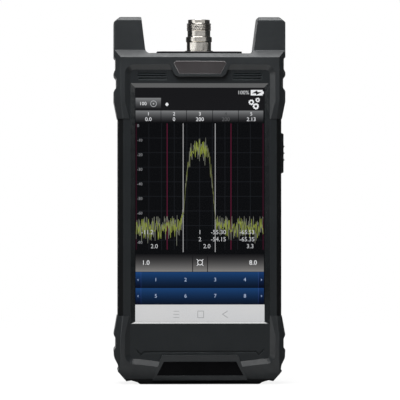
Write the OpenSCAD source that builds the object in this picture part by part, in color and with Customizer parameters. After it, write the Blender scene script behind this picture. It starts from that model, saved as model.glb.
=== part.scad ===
// Rugged handheld spectrum analyzer with a tall touch screen.
// Millimetres, +Z up, the screen faces -Y, and the origin is under the middle of the foot.

/* [Screen] */
// Width of the visible screen
screen_w = 83.8; // [76:0.2:92]
// Height of the visible screen
screen_h = 151.3; // [140:0.1:166]
// Width that the bezel's bevel takes above the screen and beside it
bezel_bevel = 2.8; // [1.4:0.1:3]
// Width that the bezel's bevel takes under the screen
bezel_sill = 1.3; // [1:0.1:3]

/* [Housing] */
// Height of the screen's lower edge above the foot
chin_h = 40.3; // [37:0.1:46]
// Height of the housing above the screen
head_h = 17.8; // [17:0.1:24]
// Width of the rail on each side of the screen
rail_w = 11; // [10.2:0.1:13]
// Thickness of the housing's side walls, which hold the key and the port
side_wall = 6.4; // [5.6:0.1:7]
// Thickness of the housing's top and bottom walls
end_wall = 2.9; // [2:0.1:4]
// Thickness of the housing's back wall and of the battery cover in it
back_wall = 2.5; // [2:0.1:4]
// Depth of the rear half, from the back to the parting line
rear_d = 12; // [8:0.5:12]
// Width of the bevel along the housing's long edges, seen from the front
edge_bevel = 3.3; // [2:0.1:4]
// Size of the corner cut at the housing's lower end
foot_corner = 13; // [10:0.5:14]

/* [Guard and boot] */
// Thickness of the guard and the boot on the housing's sides
guard_t = 2.6; // [2.2:0.1:4]
// Height of the guard's and the boot's rim over the front and the back
rim_t = 2.5; // [1.6:0.1:4]
// Depth of the grip grooves in the guard's sides
grip_groove = 1.6; // [0.6:0.1:1.8]
// Width of the bevel outside the rim, seen from the front
rim_bevel_w = 4.3; // [3:0.1:5]
// Depth of the bevel outside the rim, seen from above
rim_bevel_d = 6; // [4:0.1:8]
// Width of the bevel inside the rim
recess_bevel = 3.4; // [2:0.1:4]
// Distance from the housing's side to the recess between the rims
rim_inset = 7.7; // [7.2:0.1:8.4]
// Radius of the recess's corners
recess_r = 3; // [1:0.5:5]
// Thickness of the guard over the housing's top
deck_t = 4.4; // [3:0.1:6]
// Height of the horns above the deck
horn_h = 23.6; // [18:0.2:30]
// Width of a horn at its top
horn_w = 17.7; // [14:0.1:22]
// Lean of a horn's inner face, from its top to its foot
horn_lean = 2.9; // [0:0.1:4]
// Radius of the fillet between a horn and the deck
horn_fillet = 3.4; // [2:0.1:5]
// Length of the guard's arms down the rails, from the housing's top
arm_l = 37.9; // [34:0.1:46]
// Height of the boot's upper edge
boot_h = 44.2; // [42:0.1:50]
// Thickness of the boot under the housing
boot_floor = 3; // [2.6:0.1:4]
// Distance from the boot's side to the flat foot
foot_inset = 16.9; // [16:0.1:20]

/* [Plates and grilles] */
// Height of the bare name plate
name_plate_h = 8.4; // [7:0.1:9.5]
// Width of the name plate at its shoulders
name_plate_w = 34.2; // [28:0.2:37]
// Height of the bare badge plate
badge_h = 9; // [7:0.1:10]
// Width of the badge plate's lower edge
badge_w = 56; // [48:0.2:60]
// Thickness of both plates
plate_skin = 0.9; // [0.6:0.1:1.4]
// Width of a speaker grille
grille_w = 19.1; // [15:0.1:19.5]
// Height of a speaker grille
grille_h = 5.4; // [4:0.1:5.6]
// Ribs in a speaker grille
grille_ribs = 2; // [2:1:4]

/* [Jack] */
// Major radius of the jack's coupling thread (5/8-24 UNEF)
thread_r = 7.94; // [7.2:0.01:8.2]
// Length of the coupling thread
thread_l = 4.9; // [4:0.1:7]
// Radius of the jack's shank, through the deck
shank_r = 6; // [5:0.1:6.6]
// Gap between the black plate under the jack and a horn's foot
jack_plate_gap = 3.9; // [3:0.1:7]
// Thickness of that plate
jack_plate_t = 1.5; // [1:0.1:2.2]

/* [Inner stack] */
// Thickness of the bezel over the glass
bezel_t = 1.2; // [0.8:0.1:2]
// Thickness of the gasket under the bezel
gasket_t = 0.4; // [0.3:0.1:0.8]
// Thickness of the cover glass
glass_t = 1.4; // [1:0.1:2.4]
// Thickness of the display panel
lcd_t = 3.5; // [3:0.1:5]
// Thickness of the chassis plate
chassis_t = 1.2; // [1:0.1:2]
// Height of the standoffs between the chassis and the main board
standoff_h = 4; // [3:0.1:6]
// Thickness of the circuit boards
board_t = 1.6; // [1.2:0.1:2]
// Room for the parts between the main board and the battery bay
parts_h = 3.7; // [3.4:0.1:6]
// Thickness of the battery bay's walls
bay_t = 1.5; // [1.2:0.1:2]
// Thickness of the battery
battery_t = 17.5; // [15:0.1:22]
// Height of the battery
battery_h = 108; // [90:0.5:116]

/* [Side key] */
// Height of the key's middle above the foot
key_z = 149.4; // [142:0.2:154]
// Length of the key
key_l = 26.8; // [22:0.1:30]
// Width of the key, front to back
key_w = 9; // [7:0.1:10]
// Height of the key above the housing's side
key_proud = 2; // [1.2:0.1:2]
// Travel of the key
key_travel = 0.9; // [0.5:0.1:1]

/* [Port] */
// Height of the port's middle above the foot
port_z = 149.4; // [142:0.2:154]
// Length of the port's door
door_l = 30; // [26:0.2:34]
// Width of the port's door, from its free edge to the hinge
door_w = 11.2; // [10.4:0.1:12]
// Thickness of the port's door
door_t = 2; // [1.8:0.1:2.4]
// Radius of the hinge pin
pin_r = 0.7; // [0.5:0.05:0.8]

/* [Fits] */
// Clearance round a piece that drops into its seat
seat_gap = 0.1; // [0.05:0.01:0.2]
// Clearance round a piece that slides or swings
slide_gap = 0.15; // [0.1:0.01:0.25]
// Radial clearance of the hinge pin in the door
pin_gap = 0.05; // [0.02:0.01:0.1]

/* [Hidden] */
$fn = 64;
// Length of the blocks that cut one face off a solid
far = 400;
// Overlap of a cut past the face that it opens
over = 1;

// Depth, from the face of the screen's bezel to the back
body_d = bezel_t + gasket_t + glass_t + lcd_t + chassis_t + standoff_h + board_t + parts_h + bay_t
    + battery_t + seat_gap + back_wall;
y_face = -body_d / 2;
y_gasket = y_face + bezel_t;
y_glass = y_gasket + gasket_t;
y_lcd = y_glass + glass_t;
y_chassis = y_lcd + lcd_t;
y_standoff = y_chassis + chassis_t;
y_board = y_standoff + standoff_h;
y_parts = y_board + board_t;
y_bay = y_parts + parts_h;
y_battery = y_bay + bay_t;
y_cover = y_battery + battery_t + seat_gap;
y_back = y_cover + back_wall;
y_split = y_back - rear_d;
y_rim = y_face - rim_t;
y_rim_back = y_back + rim_t;

// Width and height
body_w = screen_w + 2 * rail_w;
body_hw = body_w / 2;
body_top = chin_h + screen_h + head_h;
screen_z = chin_h;
screen_top = chin_h + screen_h;
cavity_hw = body_hw - side_wall;
cavity_z = boot_floor + end_wall;
cavity_top = body_top - end_wall;
guard_hw = body_hw + guard_t;
recess_hw = body_hw - rim_inset;
foot_hw = guard_hw - foot_inset;
bevel_slope = rim_bevel_w / rim_bevel_d;
edge_bevel_d = edge_bevel / bevel_slope;

// Housing: corner cuts, seal and screw columns
top_corner = 3;
corner_wall = 3;
cavity_corner = foot_corner + corner_wall * sqrt(2) - side_wall - end_wall;
seal_inset = 0.8;
seal_w = 1.2;
seal_t = 1.2;
case_screw_r = 1.25;
case_head_r = 2.25;
case_head_h = 2;
column_r = 3.25;
// Screw columns: near the four corners inside the recess, and one on each side wall
screw_margin = 0.45;
corner_screw_x = recess_hw - case_head_r - screw_margin;
low_screw_z = 22;
top_screw_drop = 10.4;
middle_screw_in = 0.5;
middle_screw_x = cavity_hw - middle_screw_in;
middle_screw_z = 110;
case_screw_at = concat(
    [for (x = [-corner_screw_x, corner_screw_x], z = [low_screw_z, body_top - top_screw_drop]) [x, z]],
    [for (x = [-middle_screw_x, middle_screw_x]) [x, middle_screw_z]]
);
case_screw_bite = 8;
column_floor = 1.5;

// Screen stack: the glass laps under the bezel, and the panel is a little smaller than the glass
glass_lap = 3.1;
panel_lap = 1.1;
glass_hw = screen_w / 2 + glass_lap;
panel_hw = screen_w / 2 + panel_lap;

// Guard: heights along its outline are counted from the housing's top
deck_z = body_top + deck_t;
horn_top = deck_z + horn_h;
horn_corner_w = 3.8;
horn_corner_h = 3.3;
brow_z = body_top + 1.8;
brow_h = 4.7;
brow_d = 5.5;
horn_bevel_d = 2.5;
horn_bevel_h = 2.1;
fillet_ease = 0.4;
arm_z = body_top - arm_l;
arm_pad = 26.8;
arm_pad_z = body_top - arm_pad;
// Thickness that the arms keep at their tips
tip_t = 0.4;
tooth_groove = 1.1;
// Side of the guard, upwards: inset from its widest face, and height over the housing's top
guard_edge = [
    [0, -arm_pad], [0, -19.8],
    [grip_groove, -17.9], [grip_groove, -12.1],
    [0, -10.1], [0, -7.6],
    [tooth_groove, -5.9], [tooth_groove, 0.9],
    [0, 2]
];

// Boot: heights are counted from the foot
boot_pad_z = 31.6;
boot_groove = 1.2;
// Side of the boot, downwards: inset from its widest face, and height
boot_edge = [
    [0, boot_pad_z],
    [boot_groove, 29.4], [boot_groove, 23.6],
    [0, 22.2], [0.3, 16.8],
    [2.7, 12.4], [3.1, 9.7], [2.3, 8.5],
    [8.1, 1.9], [11.1, 2.5], [15.2, 1.3]
];
toe_z = 11;
toe_knee_z = 3.6;
toe_knee_d = 0.4 * rim_t;
toe_d = 1.7 * rim_t;

// Recess between the rims, and the line pressed into its lower end
recess_z = 16.4;
recess_top = body_top - 6.3;
line_z = 21.5;
line_hw = 36.2;
line_dip = 1.9;
line_rise = 3.2;
line_w = 1.1;
line_deep = 0.6;
ledge_fall = 7;
ledge_l = 24;
ledge_past = 1.2;
ledge_lift = 0.4;

// Name plate and badge plate: trapezoids in bosses on the guard and the boot
name_z = body_top - 9;
name_slope = 0.51;
name_shoulder = 1.5;
name_tuck = 1.4;
name_frame = 1.9;
name_side = 3;
name_boss_cut = 1.2;
badge_z = 5.8;
badge_slope = -0.51;
badge_frame = 3.1;
badge_side = 1.5;
badge_boss_slope = -0.39;
badge_boss_z = 2;
badge_boss_top = 19;
badge_lip = 1.5;

// Speaker grilles, over the screen
grille_margin = 4.8;
grille_x = recess_hw - grille_margin - grille_w / 2;
grille_z = screen_top + 4.9;
grille_point = 0.8;
grille_rim = 0.3;
grille_set = 0.2;
louvre_open = 0.3;
louvre_sill = 0.45;
louvre_deep = 0.6;
speaker_margin = 1.2;
speaker_t = 4;

/* Building blocks */

// A half outline, closed with its mirror image
function mirrored(half) = concat(half, [for (i = [len(half) - 1 : -1 : 0]) [-half[i][0], half[i][1]]]);

// An (x, z) shape between two depths
module front_slab(y0, y1) {
    translate([0, y1, 0]) rotate([90, 0, 0]) linear_extrude(y1 - y0) children();
}

// A (y, z) shape between two widths
module side_slab(x0, x1) {
    translate([x0, 0, 0]) rotate([90, 0, 90]) linear_extrude(x1 - x0) children();
}

// An (x, y) shape between two heights
module plan_slab(z0, z1) {
    translate([0, 0, z0]) linear_extrude(z1 - z0) children();
}

// A box from its lowest to its highest corner
module block(low, high) {
    translate(low) cube(high - low);
}

// A round bar along Y
module rod_y(x, z, r, y0, y1) {
    translate([x, y1, z]) rotate([90, 0, 0]) cylinder(h = y1 - y0, r = r);
}

// A round bar along Z
module rod_z(x, y, r, z0, z1) {
    translate([x, y, z0]) cylinder(h = z1 - z0, r = r);
}

// A rectangle with round corners, about its middle
module rounded_rect(w, h, r) {
    square([w - 2 * r, h], center = true);
    square([w, h - 2 * r], center = true);
    for (x = [r - w / 2, w / 2 - r], y = [r - h / 2, h / 2 - r]) translate([x, y]) circle(r);
}

// Everything past the plane through p with the normal n
module beyond(p, n) {
    translate(p) rotate([0, acos(n[2] / norm(n)), atan2(n[1], n[0])])
        translate([-far / 2, -far / 2, 0]) cube(far);
}

// The children, and their mirror images left to right and front to back
module four_ways() {
    for (side = [0, 1], end = [0, 1]) mirror([side, 0, 0]) mirror([0, end, 0]) children();
}

// The children, and their mirror image left to right
module both_sides() {
    for (side = [0, 1]) mirror([side, 0, 0]) children();
}

// A plan with its four long edges bevelled
module bevelled_plan(hw, hd, bevel_w, bevel_d) {
    polygon(mirrored([
        [hw - bevel_w, -hd], [hw, bevel_d - hd], [hw, hd - bevel_d], [hw - bevel_w, hd]
    ]));
}

// A socket screw along +Y: its head ends at the origin and its shank runs to -Y
module socket_screw(r, head_r, head_h, l) {
    rotate([90, 0, 0]) difference() {
        union() {
            cylinder(h = head_h, r = head_r);
            cylinder(h = head_h + l, r = r);
        }
        translate([0, 0, -over]) cylinder(h = over + head_h / 2, r = head_r / 2, $fn = 6);
    }
}

/* Outer shapes that the pieces share */

// The housing's outline from the front, set in by d
function housing_half(d) =
    let (turn = 2 - sqrt(2), low = foot_corner - turn * d, high = top_corner - turn * d)
    [
        [body_hw - d - low, boot_floor + d], [body_hw - d, boot_floor + d + low],
        [body_hw - d, body_top - d - high], [body_hw - d - high, body_top - d]
    ];

// Both halves of the housing as one solid block
module housing_block() {
    intersection() {
        front_slab(y_face, y_back) polygon(mirrored(housing_half(0)));
        plan_slab(0, body_top + over) bevelled_plan(body_hw, body_d / 2, edge_bevel, edge_bevel_d);
    }
}

// The hollow in the housing, between two depths
module cavity(y0, y1) {
    front_slab(y0, y1) polygon(mirrored([
        [cavity_hw - cavity_corner, cavity_z], [cavity_hw, cavity_z + cavity_corner], [cavity_hw, cavity_top]
    ]));
}

// The ring that seals the parting line
module seal_ring() {
    front_slab(y_split - seal_t / 2, y_split + seal_t / 2) difference() {
        polygon(mirrored(housing_half(seal_inset)));
        polygon(mirrored(housing_half(seal_inset + seal_w)));
    }
}

// The bevel that brings the rim down to the rail at the tip of an arm
module arm_bevel(pad_z, tip_z) {
    along = [bevel_slope, 1, 0];
    start = [guard_hw - rim_bevel_w, y_rim, pad_z];
    tip = [body_hw - edge_bevel + tip_t * norm(along), y_face, tip_z];
    normal = cross(along, tip - start);
    beyond(start, normal[0] > 0 ? normal : -normal);
}

// The recess between the rims: its walls lean outwards from the face, and its corners are round
module rim_recess() {
    lean = recess_bevel / rim_t;
    y_in = y_face + over / 2;
    y_out = y_rim - over;
    inner = -lean * over / 2;
    outer = recess_bevel + lean * over;
    plan_slab(recess_z + recess_r, recess_top - recess_r) polygon([
        [-recess_hw - inner, y_in], [recess_hw + inner, y_in],
        [recess_hw + outer, y_out], [-recess_hw - outer, y_out]
    ]);
    side_slab(recess_r - recess_hw, recess_hw - recess_r) polygon([
        [y_in, recess_z - inner], [y_in, recess_top + inner],
        [y_out, recess_top + outer], [y_out, recess_z - outer]
    ]);
    for (x = [recess_r - recess_hw, recess_hw - recess_r], z = [recess_z + recess_r, recess_top - recess_r])
        translate([x, y_in, z]) rotate([90, 0, 0])
            cylinder(h = y_in - y_out, r1 = recess_r + inner, r2 = recess_r + outer);
}

// What the right half of the boot's front ledge loses where it falls towards the badge
module ledge_fall_cut() {
    lean = recess_bevel / rim_t;
    y_in = y_face + over / 2;
    y_out = y_rim - over;
    end = recess_hw - recess_r + ledge_past;
    translate([end, 0, recess_z + ledge_lift]) rotate([0, -ledge_fall, 0]) side_slab(-ledge_l, 0) polygon([
        [y_in, lean * over / 2], [y_in, recess_r], [y_out, recess_r], [y_out, -recess_bevel - lean * over]
    ]);
}

// A plate with slanted ends: half width at its lower edge, widening upwards by slope
module trapezoid(low_hw, slope, z0, z1) {
    polygon(mirrored([[low_hw, z0], [low_hw + slope * (z1 - z0), z1]]));
}

/* Housing, guard and boot */

// Sizes of the pieces that the housing carries
chassis_boss_r = 2.6;
chassis_screw_r = 1;
chassis_head_r = 1.9;
chassis_head_h = 1.4;
chassis_bite = 2.6;
chassis_top_x = 16;
chassis_low_x = 30;
chassis_top_z = body_top - 9.4;
chassis_low_z = screen_z - 7.3;
chassis_screw_at = concat(
    [for (x = [-chassis_top_x, chassis_top_x]) [x, chassis_top_z]],
    [for (x = [-chassis_low_x, chassis_low_x]) [x, chassis_low_z]]
);
screw_gap = 0.02;

// Battery bay in the rear cover
column_gap = 0.3;
bay_skin = 1.6;
bay_ledge = 4.2;
battery_gap = 0.4;
battery_z = 33;
contact_room = 2.6;
tub_hw = middle_screw_x - column_r - column_gap;
bay_hw = tub_hw - bay_skin - bay_ledge;
battery_hw = bay_hw - battery_gap;
bay_z = battery_z - battery_gap;
bay_top = battery_z + battery_h + contact_room;
tub_z = bay_z - bay_ledge - bay_skin;
tub_top = bay_top + bay_ledge + bay_skin;
cover_screw_r = 1;
cover_head_r = 1.6;
cover_head_h = 1.4;
cover_bite = 8;
cover_corner_r = 2;
cover_screw_in = 14;
cover_screw_x = bay_hw + bay_ledge / 2;
cover_screw_at = [
    for (x = [-cover_screw_x, cover_screw_x], z = [bay_z + cover_screw_in, bay_top - cover_screw_in]) [x, z]
];

// Jack, on the guard's deck
jack_y = 0;
washer_t = 0.7;
washer_r = 9.2;
jack_seat = deck_z + jack_plate_t + washer_t;
hex_h = 5.5;
hex_flat = 15.75;
jack_collar_r = 8.45;
jack_collar_h = 3.5;
jack_neck_r = 7.43;
jack_neck_h = 4.1;
jack_tip_r = 7.1;
jack_tip_h = 2.2;
thread_z = jack_seat + hex_h + jack_collar_h + jack_neck_h;
jack_tip_z = thread_z + thread_l + jack_tip_h;
nut_t = 3;
nut_flat = 16;
shank_past_nut = 0.2;
shank_z = cavity_top - nut_t - shank_past_nut;
plate_screw_x = 22;
plate_screw_r = 1.5;
plate_head_r = 2.75;
plate_head_h = 1;
plate_bite = 2.2;

// Side key, on the right wall
key_y = -2;
key_lip = 2;
key_flange_t = 0.9;
key_flange_w = 1.2;
key_rest_gap = 0.1;
key_stop_gap = 0.4;
key_bevel = 0.9;
key_round = 1;
ridge_r = 0.6;
ridge_pitch = 4.35;
key_flange_x = body_hw - key_lip - key_rest_gap - key_flange_t;
key_board_t = 1.2;
key_board_rim = 3;
key_board_side = 1;
switch_top = key_flange_x - key_travel - key_stop_gap;
switch_size = 6;
plunger_r = 1.2;

// Port, on the left wall: the socket stands on the back of the main board
socket_t = 3.2;
socket_w = 9;
socket_l = 6.2;
socket_skin = 0.35;
socket_floor = 1;
tongue_in = 1;
tongue_margin = 2;
tongue_t = 0.7;
port_y = y_parts + socket_t / 2;
hinge_shift = 0.6;
hinge_deep = 1.5;
hinge_y = port_y + door_w / 2 + hinge_shift;
hinge_x = hinge_deep - body_hw;
knuckle_r = 1.4;
door_swing = hinge_deep + slide_gap;
door_floor = door_t + slide_gap - body_hw;
seal_l = 11;
seal_h = 4.6;
seal_deep = 1;
seal_room = 0.3;
socket_face = door_floor + seal_deep + slide_gap;
pin_bite = 2.5;

// The bezel's bevel round the screen, with mitred corners
module screen_window() {
    lean = bezel_bevel / bezel_t;
    inner = -lean * over / 2;
    outer = bezel_bevel + lean * over;
    sill_lean = bezel_sill / bezel_t;
    sill_inner = -sill_lean * over / 2;
    sill_outer = bezel_sill + sill_lean * over;
    hw = screen_w / 2;
    y_in = y_gasket + over / 2;
    y_out = y_face - over;
    intersection() {
        plan_slab(screen_z - far, screen_top + far) polygon([
            [-hw - inner, y_in], [hw + inner, y_in], [hw + outer, y_out], [-hw - outer, y_out]
        ]);
        side_slab(-far, far) polygon([
            [y_in, screen_z - sill_inner], [y_in, screen_top + inner],
            [y_out, screen_top + outer], [y_out, screen_z - sill_outer]
        ]);
    }
}

// The seat of the glass and its gasket, behind the bezel
module glass_seat(y0, y1, gap) {
    block(
        [-glass_hw - gap, y0, screen_z - glass_lap - gap],
        [glass_hw + gap, y1, screen_top + glass_lap + gap]
    );
}

// A speaker grille's outline, with a pointed outer end, set in by d
module grille_outline(d) {
    inner = grille_x - grille_w / 2 + d;
    outer = grille_x + grille_w / 2 - d;
    low = grille_z + d;
    high = grille_z + grille_h - d;
    polygon([
        [inner, low], [outer - grille_point, low], [outer, (low + high) / 2],
        [outer - grille_point, high], [inner, high]
    ]);
}

// The line pressed into the chin, with a notch at each end
module chin_line() {
    notch = [line_hw + line_dip, line_z - line_dip];
    half = [[line_hw, line_z], notch, notch + [line_rise, line_rise]];
    path = concat([for (i = [len(half) - 1 : -1 : 0]) [-half[i][0], half[i][1]]], half);
    back = [for (i = [len(path) - 1 : -1 : 0]) [path[i][0], path[i][1] - line_w]];
    front_slab(y_face - over, y_face + line_deep) polygon(concat(path, back));
}

// The key's opening in the wall and the pocket behind it
module key_opening() {
    half_l = key_l / 2 + slide_gap;
    half_w = key_w / 2 + slide_gap;
    block(
        [cavity_hw - over, key_y - half_w, key_z - half_l],
        [body_hw + over, key_y + half_w, key_z + half_l]
    );
    block(
        [cavity_hw - over, key_y - half_w - key_flange_w, key_z - half_l - key_flange_w],
        [body_hw - key_lip, key_y + half_w + key_flange_w, key_z + half_l + key_flange_w]
    );
}

// The port's recess in the wall: the door's seat, the hinge, the seal's pocket and the socket's slot
module port_opening() {
    half_l = door_l / 2 + slide_gap;
    block(
        [-body_hw - over, hinge_y - door_w - slide_gap, port_z - half_l],
        [door_floor, hinge_y, port_z + half_l]
    );
    block([-body_hw - over, hinge_y, port_z - half_l], [hinge_x, hinge_y + door_swing, port_z + half_l]);
    rod_z(hinge_x, hinge_y, door_swing, port_z - half_l, port_z + half_l);
    rod_z(hinge_x, hinge_y, pin_r + screw_gap, port_z - half_l - pin_bite, port_z + half_l + pin_bite);
    block(
        [door_floor - over, port_y - seal_h / 2 - seal_room, port_z - seal_l / 2 - seal_room],
        [socket_face, port_y + seal_h / 2 + seal_room, port_z + seal_l / 2 + seal_room]
    );
    block(
        [socket_face - over, port_y - socket_t / 2 - seat_gap, port_z - socket_w / 2 - seat_gap],
        [over - cavity_hw, port_y + socket_t / 2 + seat_gap, port_z + socket_w / 2 + seat_gap]
    );
}

module front_housing() {
    color([0.18, 0.2, 0.21]) difference() {
        union() {
            difference() {
                intersection() {
                    housing_block();
                    block([-far, y_face - over, -over], [far, y_split, far]);
                }
                cavity(y_lcd, y_split + over);
            }
            for (at = case_screw_at) {
                middle = abs(at[0]) == middle_screw_x;
                start = middle ? y_split - case_screw_bite - column_floor : y_lcd - over;
                rod_y(at[0], at[1], column_r, start, y_split);
            }
            for (at = chassis_screw_at) rod_y(at[0], at[1], chassis_boss_r, y_lcd - over, y_chassis);
        }
        screen_window();
        glass_seat(y_gasket, y_lcd + over, seat_gap);
        both_sides() front_slab(y_face - over, y_lcd + over / 2) grille_outline(0);
        chin_line();
        seal_ring();
        for (at = case_screw_at)
            rod_y(at[0], at[1], case_screw_r + screw_gap, y_split - case_screw_bite, y_split + over);
        for (at = chassis_screw_at)
            rod_y(at[0], at[1], chassis_screw_r + screw_gap, y_chassis - chassis_bite, y_chassis + over);
        rod_z(0, jack_y, shank_r + seat_gap, cavity_top - over, body_top + over);
        for (x = [-plate_screw_x, plate_screw_x])
            rod_z(x, jack_y, plate_screw_r + screw_gap, body_top - plate_bite, body_top + over);
        key_opening();
        port_opening();
    }
}

module rear_cover() {
    color([0.16, 0.17, 0.18]) difference() {
        union() {
            difference() {
                intersection() {
                    housing_block();
                    block([-far, y_split, -over], [far, y_back + over, far]);
                }
                cavity(y_split - over, y_back - back_wall);
            }
            block([-tub_hw, y_bay, tub_z], [tub_hw, y_back, tub_top]);
            for (at = case_screw_at) rod_y(at[0], at[1], column_r, y_split, y_back - back_wall / 2);
        }
        block([-bay_hw, y_battery, bay_z], [bay_hw, y_back + over, bay_top]);
        battery_cover_space(0);
        seal_ring();
        for (at = case_screw_at) {
            rod_y(at[0], at[1], case_screw_r + screw_gap, y_split - over, y_back + over);
            rod_y(at[0], at[1], case_head_r + seat_gap, y_back - case_head_h, y_back + over);
        }
        for (at = cover_screw_at)
            rod_y(at[0], at[1], cover_screw_r + seat_gap, y_cover - cover_bite, y_cover + over);
    }
}

// The battery cover's seat, set in by d
module battery_cover_space(d) {
    h = bay_top - bay_z + 2 * bay_ledge - 2 * d;
    front_slab(y_cover, y_back + (d > 0 ? 0 : over))
        translate([0, (bay_z + bay_top) / 2]) rounded_rect(2 * (bay_hw + bay_ledge - d), h, cover_corner_r);
}

module housing_seal() {
    color([0.1, 0.1, 0.1]) seal_ring();
}

module case_screws() {
    shank = rear_d - case_head_h + case_screw_bite;
    color([0.3, 0.3, 0.32]) for (at = case_screw_at)
        translate([at[0], y_back, at[1]]) socket_screw(case_screw_r, case_head_r, case_head_h, shank);
}

// The guard's outer shape: front outline, side outline and bevelled plan together
module guard_block() {
    horn_foot = [guard_hw - horn_w - horn_lean, deck_z];
    front = concat(
        [[body_hw + tip_t, arm_z]],
        [for (p = guard_edge) [guard_hw - p[0], body_top + p[1]]],
        [
            [guard_hw, horn_top - horn_corner_h], [guard_hw - horn_corner_w, horn_top],
            [guard_hw - horn_w, horn_top], horn_foot
        ]
    );
    side = [
        [y_back + tip_t, arm_z], [y_rim_back, arm_pad_z], [y_rim_back, brow_z],
        [y_rim_back - brow_d, brow_z + brow_h], [y_rim_back - brow_d, horn_top - horn_bevel_h],
        [y_rim_back - brow_d - horn_bevel_d, horn_top]
    ];
    difference() {
        intersection() {
            front_slab(y_rim - over, y_rim_back + over) union() {
                polygon(mirrored(front));
                both_sides() horn_root(horn_foot);
            }
            side_slab(-far, far) polygon(mirrored(side));
            plan_slab(arm_z - over, horn_top + over)
                bevelled_plan(guard_hw, y_rim_back, rim_bevel_w, rim_bevel_d);
        }
        four_ways() arm_bevel(arm_pad_z, arm_z);
    }
}

// The fillet in the corner between the deck and a horn's leaning inner face,
// which ends a little before it is tangent to them
module horn_root(foot) {
    lean = atan(horn_lean / horn_h);
    reach = horn_fillet / tan((90 + lean) / 2);
    near = reach - fillet_ease;
    touch = foot + near * [sin(lean), cos(lean)];
    root = horn_fillet / 4;
    difference() {
        polygon([foot + [root, -root], foot + [-near, -root], foot + [-near, 0], touch, touch + [root, 0]]);
        translate(foot + [-reach, horn_fillet]) circle(horn_fillet);
    }
}

module top_guard() {
    boss_low = name_z - name_frame;
    boss_hw = name_low_hw() + name_side - name_slope * name_frame;
    color([0.2, 0.22, 0.23]) difference() {
        union() {
            difference() {
                guard_block();
                rim_recess();
                mirror([0, 1, 0]) rim_recess();
            }
            front_slab(y_rim, y_face + over) polygon(mirrored([
                [boss_hw - name_boss_cut, boss_low],
                [boss_hw + name_slope * name_boss_cut, boss_low + name_boss_cut],
                [boss_hw + name_slope * (brow_z - boss_low), brow_z]
            ]));
        }
        housing_block();
        name_plate_space(0);
        rod_z(0, jack_y, shank_r + seat_gap, body_top - over, deck_z + over);
        for (x = [-plate_screw_x, plate_screw_x])
            rod_z(x, jack_y, plate_screw_r + seat_gap, body_top - over, deck_z + over);
    }
}

// The boot's outer shape, made in the same way as the guard's
module boot_block() {
    front = concat(
        [[body_hw + tip_t, boot_h]],
        [for (p = boot_edge) [guard_hw - p[0], p[1]]],
        [[foot_hw, 0]]
    );
    side = [
        [y_back + tip_t, boot_h], [y_rim_back, boot_pad_z], [y_rim_back, toe_z],
        [y_rim_back - toe_knee_d, toe_knee_z], [y_rim_back - toe_d, 0]
    ];
    difference() {
        intersection() {
            front_slab(y_rim - over, y_rim_back + over) polygon(mirrored(front));
            side_slab(-far, far) polygon(mirrored(side));
            plan_slab(-over, boot_h + over) bevelled_plan(guard_hw, y_rim_back, rim_bevel_w, rim_bevel_d);
        }
        four_ways() arm_bevel(boot_pad_z, boot_h);
    }
}

// The boss that carries the badge plate, with a lip under the plate
module badge_boss() {
    lip_z = badge_z - badge_frame;
    low_hw = badge_w / 2 + badge_side - badge_boss_slope * (badge_z - badge_boss_z);
    intersection() {
        front_slab(y_rim - over, y_face + rim_bevel_d)
            trapezoid(low_hw, badge_boss_slope, badge_boss_z, badge_boss_top);
        side_slab(-far, far) polygon([
            [y_rim, lip_z], [y_rim + badge_lip, badge_boss_z], [y_face + rim_bevel_d, badge_boss_z],
            [y_face + rim_bevel_d, badge_boss_top], [y_rim, badge_boss_top]
        ]);
    }
}

module bottom_boot() {
    color([0.2, 0.22, 0.23]) difference() {
        union() {
            difference() {
                boot_block();
                rim_recess();
                mirror([0, 1, 0]) rim_recess();
                both_sides() ledge_fall_cut();
            }
            badge_boss();
        }
        housing_block();
        badge_plate_space(0);
    }
}

// Half the name plate's width at its lower edge
function name_low_hw() = name_plate_w / 2 - name_slope * (name_plate_h - name_shoulder);

// The name plate's seat, set in by d
module name_plate_space(d) {
    top = name_z + name_plate_h;
    front_slab(y_rim - (d > 0 ? 0 : over), y_rim + plate_skin) polygon(mirrored([
        [name_low_hw() - d, name_z + d], [name_plate_w / 2 - d, top - name_shoulder],
        [name_plate_w / 2 - name_tuck - d, top - d]
    ]));
}

module name_plate() {
    color([0.35, 0.36, 0.37]) name_plate_space(seat_gap);
}

// The badge plate's seat, set in by d
module badge_plate_space(d) {
    front_slab(y_rim - (d > 0 ? 0 : over), y_rim + plate_skin)
        trapezoid(badge_w / 2 - d, badge_slope, badge_z + d, badge_z + badge_h - d);
}

module badge_plate() {
    color([0.04, 0.04, 0.05]) badge_plate_space(seat_gap);
}

/* Screen */

module glass_gasket() {
    color([0.08, 0.08, 0.08]) difference() {
        glass_seat(y_gasket, y_glass, 0);
        block([-screen_w / 2, y_gasket - over, screen_z], [screen_w / 2, y_glass + over, screen_top]);
    }
}

module cover_glass() {
    color([0.1, 0.12, 0.15, 0.6]) glass_seat(y_glass, y_lcd, 0);
}

module lcd_panel() {
    color([0.05, 0.05, 0.06]) block(
        [-panel_hw, y_lcd, screen_z - panel_lap],
        [panel_hw, y_chassis, screen_top + panel_lap]
    );
}

// Cuts one slot in a grille: its sill starts at z on the front, and rises back to the opening
module grille_slot(z, pitch) {
    front = y_face + grille_set;
    sill = louvre_sill * pitch;
    lean = sill / louvre_deep;
    top = z + sill + louvre_open * pitch;
    side_slab(0, far) polygon([
        [front - over, z - lean * over], [front + louvre_deep, z + sill], [y_lcd + over, z + sill],
        [y_lcd + over, top], [front - over, top]
    ]);
}

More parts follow.
